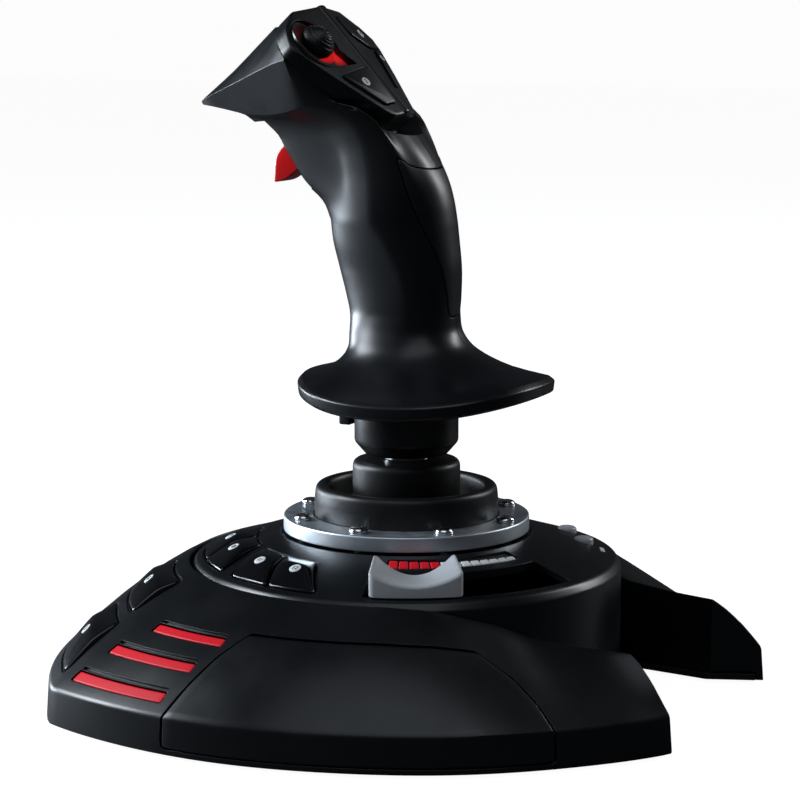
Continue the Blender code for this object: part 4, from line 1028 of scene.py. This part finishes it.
def make_grip():
    core = side_prism([(y * MM, z * MM) for y, z in SEAM_CORE], 0.0005, (0, 0))
    piece("grip_seam_core", core, "matte", "grip")
    pocket, _, pocket_normals = palm_patch(0.0003)
    for side, sign in SIDES:
        half = loose(f"grip_{side}_skin", skin(grip_loops()), 24)
        cutters = [
            loose("shaft_hole", solid_turned([(SHAFT_HOLE_R, 0.090), (SHAFT_HOLE_R, 0.1128)])),
            loose("trigger_slot", side_prism(TRIGGER_SLOT, 0.0052, TRIGGER_AT)),
            loose("palm_pocket", slab(pocket, -0.0016, 0.0020, pocket_normals)),
        ]
        if sign < 0:
            place = plate_matrix() @ Matrix.Translation((*HAT_AT, 0))
            cutters.append(loose("hat_well", solid_turned([(0.0068, -0.0146), (0.0068, -0.0060)], 48, place)))
        low, high = sorted((sign * 0.00012, -sign * 0.065))
        outline = [(low, -0.080), (high, -0.080), (high, 0.100), (low, 0.100)]
        cutters.append(loose("parting", prism(outline, 0.080, 0.240)))
        carve(half, cutters, sharp=24)
        finish_piece(half, "head", "grip", f"grip_{side}")
    grid, depths, normals = palm_patch(0.0)
    pad = slab(grid, -0.0013, 0.0002 - rounding(depths, 0.0006), normals)
    piece("palm_insert_pad", pad, "insert", "grip", "palm_insert")
    outline = rounded([(-3.5, -3.5, 1), (-3.5, 3, 1), (3.5, 3, 1), (12.2, -3.2, 3), (14.2, -7, 2),
                       (14.8, -14.6, 0.8), (11.2, -14, 2), (7.5, -11.5, 2), (2.5, -7, 2)], 5)
    blade = loose("trigger_blade", side_prism(outline, 0.0044, TRIGGER_AT))
    softened(blade, 0.0009, 4)
    finish_piece(blade, "trigger", "trigger", "trigger")


# ---------------------------------------------------------------- thumb plate

def plate_matrix():
    return Matrix.Translation(PLATE_ORIGIN) @ Matrix.Rotation(math.radians(PLATE_TILT_DEG), 4, "X")


def roof(across):
    return -abs(across) * math.tan(math.radians(ROOF_DEG))


def drop_outline(grow=0.0):
    cx, cy = HAT_AT
    radius = 0.0098 + grow
    start, turn = math.radians(-85), math.radians(300)
    round_part = [(cx + radius * math.cos(a), cy + radius * math.sin(a))
                  for a in np.linspace(start, start - turn, 40)]
    return round_part + [(cx + 0.0120 + grow, cy - 0.0105 - grow)]


def grown(outline, by):
    middle = Vector(np.mean(np.array(outline), axis=0))
    return [tuple(middle + (Vector(p) - middle) * (1 + by / (Vector(p) - middle).length)) for p in outline]


def plate_slice(y, half_width, drop):
    """The thumb plate's cross-section: flat underside, two roof faces, a raised ridge and round borders."""
    edge, inner = roof(half_width), half_width - 0.0010
    right = [(half_width, PLATE_UNDERSIDE), (half_width, edge - 0.0008),
             (half_width - 0.00012, edge - 0.0004), (half_width - 0.0004, edge - 0.0001),
             (inner, roof(inner))]
    for x in (0.75 * inner, 0.5 * inner, 0.25 * inner + 0.0012):
        right.append((max(x, RIDGE_HALF + 0.0006), roof(max(x, RIDGE_HALF + 0.0006))))
    right += [(RIDGE_HALF + 0.0003, roof(RIDGE_HALF)), (RIDGE_HALF, roof(RIDGE_HALF) + 0.7 * RIDGE_RISE),
              (RIDGE_HALF - 0.0004, RIDGE_RISE - 0.00015), (0.0006, RIDGE_RISE)]
    points = [(x, z - (drop if z > PLATE_UNDERSIDE / 2 else 0)) for x, z in right]
    points += [(-x, z) for x, z in points[::-1]]
    return [Vector((x, y, z)) for x, z in points]


def make_thumb_plate():
    outline = fillet([(w, -d) for w, d in PLATE_OUTLINE[:-1]], [0, 0.003, 0.003, 0, 0.002], 6, closed=False)
    outline.append((PLATE_OUTLINE[-1][0], -PLATE_OUTLINE[-1][1]))
    widths = np.array([(-y, w) for w, y in outline])
    top, bottom = -0.0012, PLATE_OUTLINE[-1][1]
    slices = []
    for share in spread(bottom - top, 0.0010, 60):
        down = top + (bottom - top) * share
        end = min(share, 1 - share) * (bottom - top)
        drop = float(rounding(np.array(end), 0.0008))
        half_width = float(np.interp(down, *widths.T)) - 0.6 * drop
        slices.append(plate_slice(-down, half_width, drop))
    plate = loose("thumb_plate_shell", placed(skin(slices), plate_matrix()), 26)
    cutters = [loose("hat_opening", prism(drop_outline(), -0.02, 0.01, plate_matrix()))]
    for name, outline in THUMB_KEYS.items():
        cutters.append(loose(f"{name}_hole", prism(fillet(grown(outline, 0.00045), [0.0008] * len(outline)),
                                                   -0.02, 0.01, plate_matrix())))
    carve(plate, cutters, sharp=26)
    finish_piece(plate, "black", "grip", "thumb_plate")
    for name, outline in THUMB_KEYS.items():
        round_outline = fillet(outline, [0.0008] * len(outline))
        bm = skin([[Vector((x, y, THUMB_KEY_LOW)) for x, y in round_outline],
                   [Vector((x, y, roof(x) + 0.0008)) for x, y in round_outline]])
        key = loose(f"{name}_cap", placed(bm, plate_matrix()))
        softened(key, 0.0004)
        finish_piece(key, "black", name, name)
    tilt = math.radians(ROOF_DEG)
    for name, text, x, y in (("thumb_key_2", "2", -0.0098, -0.0305), ("thumb_key_3", "3", 0.0185, -0.0200),
                             ("thumb_key_4", "4", 0.0165, -0.0095)):
        lean = Matrix.Rotation(tilt if x > 0 else -tilt, 4, "Y")
        place = plate_matrix() @ Matrix.Translation((x, y, roof(x) + 0.0008)) @ lean
        disc_with_numeral(name, text, place, name, 0.00165 if text != "3" else 0.0012)


def make_hat():
    cx, cy = HAT_AT
    window = loose("hat_window_red", prism(drop_outline(-0.0004), -0.0085, WINDOW_TOP, plate_matrix()))
    at = plate_matrix() @ Matrix.Translation((cx, cy, 0))
    # Wide enough for the cap to clear it with both of the hat's axes at their limits.
    bowl = [(0.0053, -0.02), (0.0053, -0.0076), (0.0071, -0.0052), (0.0081, WINDOW_TOP + 0.0002),
            (0.0081, 0)]
    carve(window, [loose("window_bowl", solid_turned(bowl, matrix=at))])
    # The window's material paints a faint glow and painted shade on it.
    finish_piece(window, "painted_glow_and_shade", "grip", "hat_window")
    hat = at @ Matrix.Translation((0, 0, HAT_PIVOT_DEPTH))
    rocker = turned(rounded([(3.6, -1.2), (5.5, -1.2, 0.3), (5.5, 1.2, 0.3), (3.6, 1.2)]), 48)
    piece("hat_rocker_ring", placed(rocker, hat), "steel", "hat_rocker", "hat_rocker")
    cap = [(0.0028, -0.0030), (0.0030, 0.0045), (0.0048, 0.0064), (0.0056, 0.0078), (0.0058, 0.0090)]
    rings, dome_r, dome_top = 6, 0.0058, 0.0138
    for i in range(rings):
        outer = dome_r * (1 - i / (rings + 0.6))
        inner = dome_r * (1 - (i + 1) / (rings + 0.6))
        height = 0.0090 + (dome_top - 0.0090) * (1 - (outer / dome_r) ** 2) ** 0.75
        higher = 0.0090 + (dome_top - 0.0090) * (1 - (inner / dome_r) ** 2) ** 0.75
        cap += [(outer - 0.00010, height + 0.45 * (higher - height) + 0.00012),
                (inner + 0.00028, higher + 0.00006), (inner + 0.00016, higher - 0.00028)]
    cap.append((0.0003, dome_top))
    piece("hat_cap_dome", solid_turned(cap, 96, hat), "rubber", "hat_cap", "hat_cap", sharp=50)


# ---------------------------------------------------------------- other CAD nodes, stage and camera

def refinish_nodes():
    for mat, nodes in (
        ("matte", ("bottom_plate", "gimbal_housing", "throttle_sensor", "throttle_arm", "tension_dial",
                   "twist_sensor")),
        ("rubber", ("cable_gland", "foot_front_left", "foot_front_right", "foot_rear_left",
                    "foot_rear_right")),
        ("steel", ("pitch_yoke", "centring_spring")),
        ("ballast", ("ballast_weight",)),
        ("board", ("circuit_board",)),
    ):
        for node in nodes:
            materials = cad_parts[node].data.materials
            for place in range(len(materials)):
                materials[place] = M[mat]


def area_light(name, at, target, size, power, colour):
    light = bpy.data.lights.new(name, "AREA")
    light.shape = "RECTANGLE"
    light.size, light.size_y = size
    light.energy = power
    light.color = colour
    obj = add_object(name, light)
    obj.location = at
    obj.rotation_euler = (Vector(target) - Vector(at)).to_track_quat("-Z", "Y").to_euler()


def only_for_camera(tree, seen, other, output):
    """Shows one shader to camera rays and another to light and reflections."""
    for_camera = add_node(tree, "LightPath").outputs["Is Camera Ray"]
    mix = add_node(tree, "MixShader", {0: for_camera, 1: other.outputs[0], 2: seen.outputs[0]})
    set_inputs(tree, output, {"Surface": mix.outputs[0]})


def make_stage():
    scene = bpy.context.scene
    scene.view_settings.view_transform = "Standard"
    floor = bpy.data.meshes.new("floor")
    reach = 6.0
    floor.from_pydata([(-reach, -reach, 0), (reach, -reach, 0), (reach, reach, 0), (-reach, reach, 0)], [],
                      [(0, 1, 2, 3)])
    mat, tree, shader = principled("pale_floor", (0.04, 0.04, 0.045), 0.6)
    bump(tree, shader, noise(tree, 120, 3), 0.00003)
    lit_shader = add_node(tree, "BsdfPrincipled", {
        "Base Color": (0.25, 0.25, 0.25, 1), "Roughness": 0.8, "Emission Color": (1, 1, 1, 1),
        "Emission Strength": 0.96,
    })
    only_for_camera(tree, lit_shader, shader, tree.nodes["Material Output"])
    floor.materials.append(mat)
    add_object("floor", floor)
    world = bpy.data.worlds.new("studio")
    scene.world = world
    world.use_nodes = True
    tree = world.node_tree
    backdrop = tree.nodes["Background"]
    set_inputs(tree, backdrop, {"Color": (0.80, 0.86, 1.0, 1), "Strength": 0.035})
    seen = add_node(tree, "Background", {"Color": (0.98, 0.98, 0.98, 1)})
    only_for_camera(tree, seen, backdrop, tree.nodes["World Output"])
    for name, at, size, power, colour in (
        ("softbox_front", (-0.40, 1.10, 0.62), (0.55, 0.50), 17, (0.84, 0.92, 1)),
        ("softbox_low", (0.10, 1.15, 0.13), (0.60, 0.22), 9, (0.80, 0.90, 1)),
        ("softbox_rear", (1.00, -0.75, 0.70), (0.30, 0.60), 6, (0.95, 0.98, 1)),
        ("softbox_fill", (-0.80, -0.30, 1.30), (1.2, 1.2), 4.5, (0.84, 0.92, 1)),
    ):
        area_light(name, at, (0, 0, 0.1), size, power, colour)


def make_camera():
    camera = bpy.data.cameras.new("camera")
    camera.lens = 111.2
    camera.sensor_width = 36
    obj = add_object("camera", camera)
    obj.location = (-0.7135, -0.3396, 0.2181)
    target = Vector((-0.0009, 0.0019, 0.0931))
    obj.rotation_euler = (target - obj.location).to_track_quat("-Z", "Y").to_euler()
    bpy.context.scene.camera = obj


M = make_materials()
make_shell()
make_side_inlays()
make_turret()
make_keys()
make_turret_details()
make_clamp()
make_stick()
make_throttle()
make_grip()
make_thumb_plate()
make_hat()
refinish_nodes()
make_stage()
make_camera()
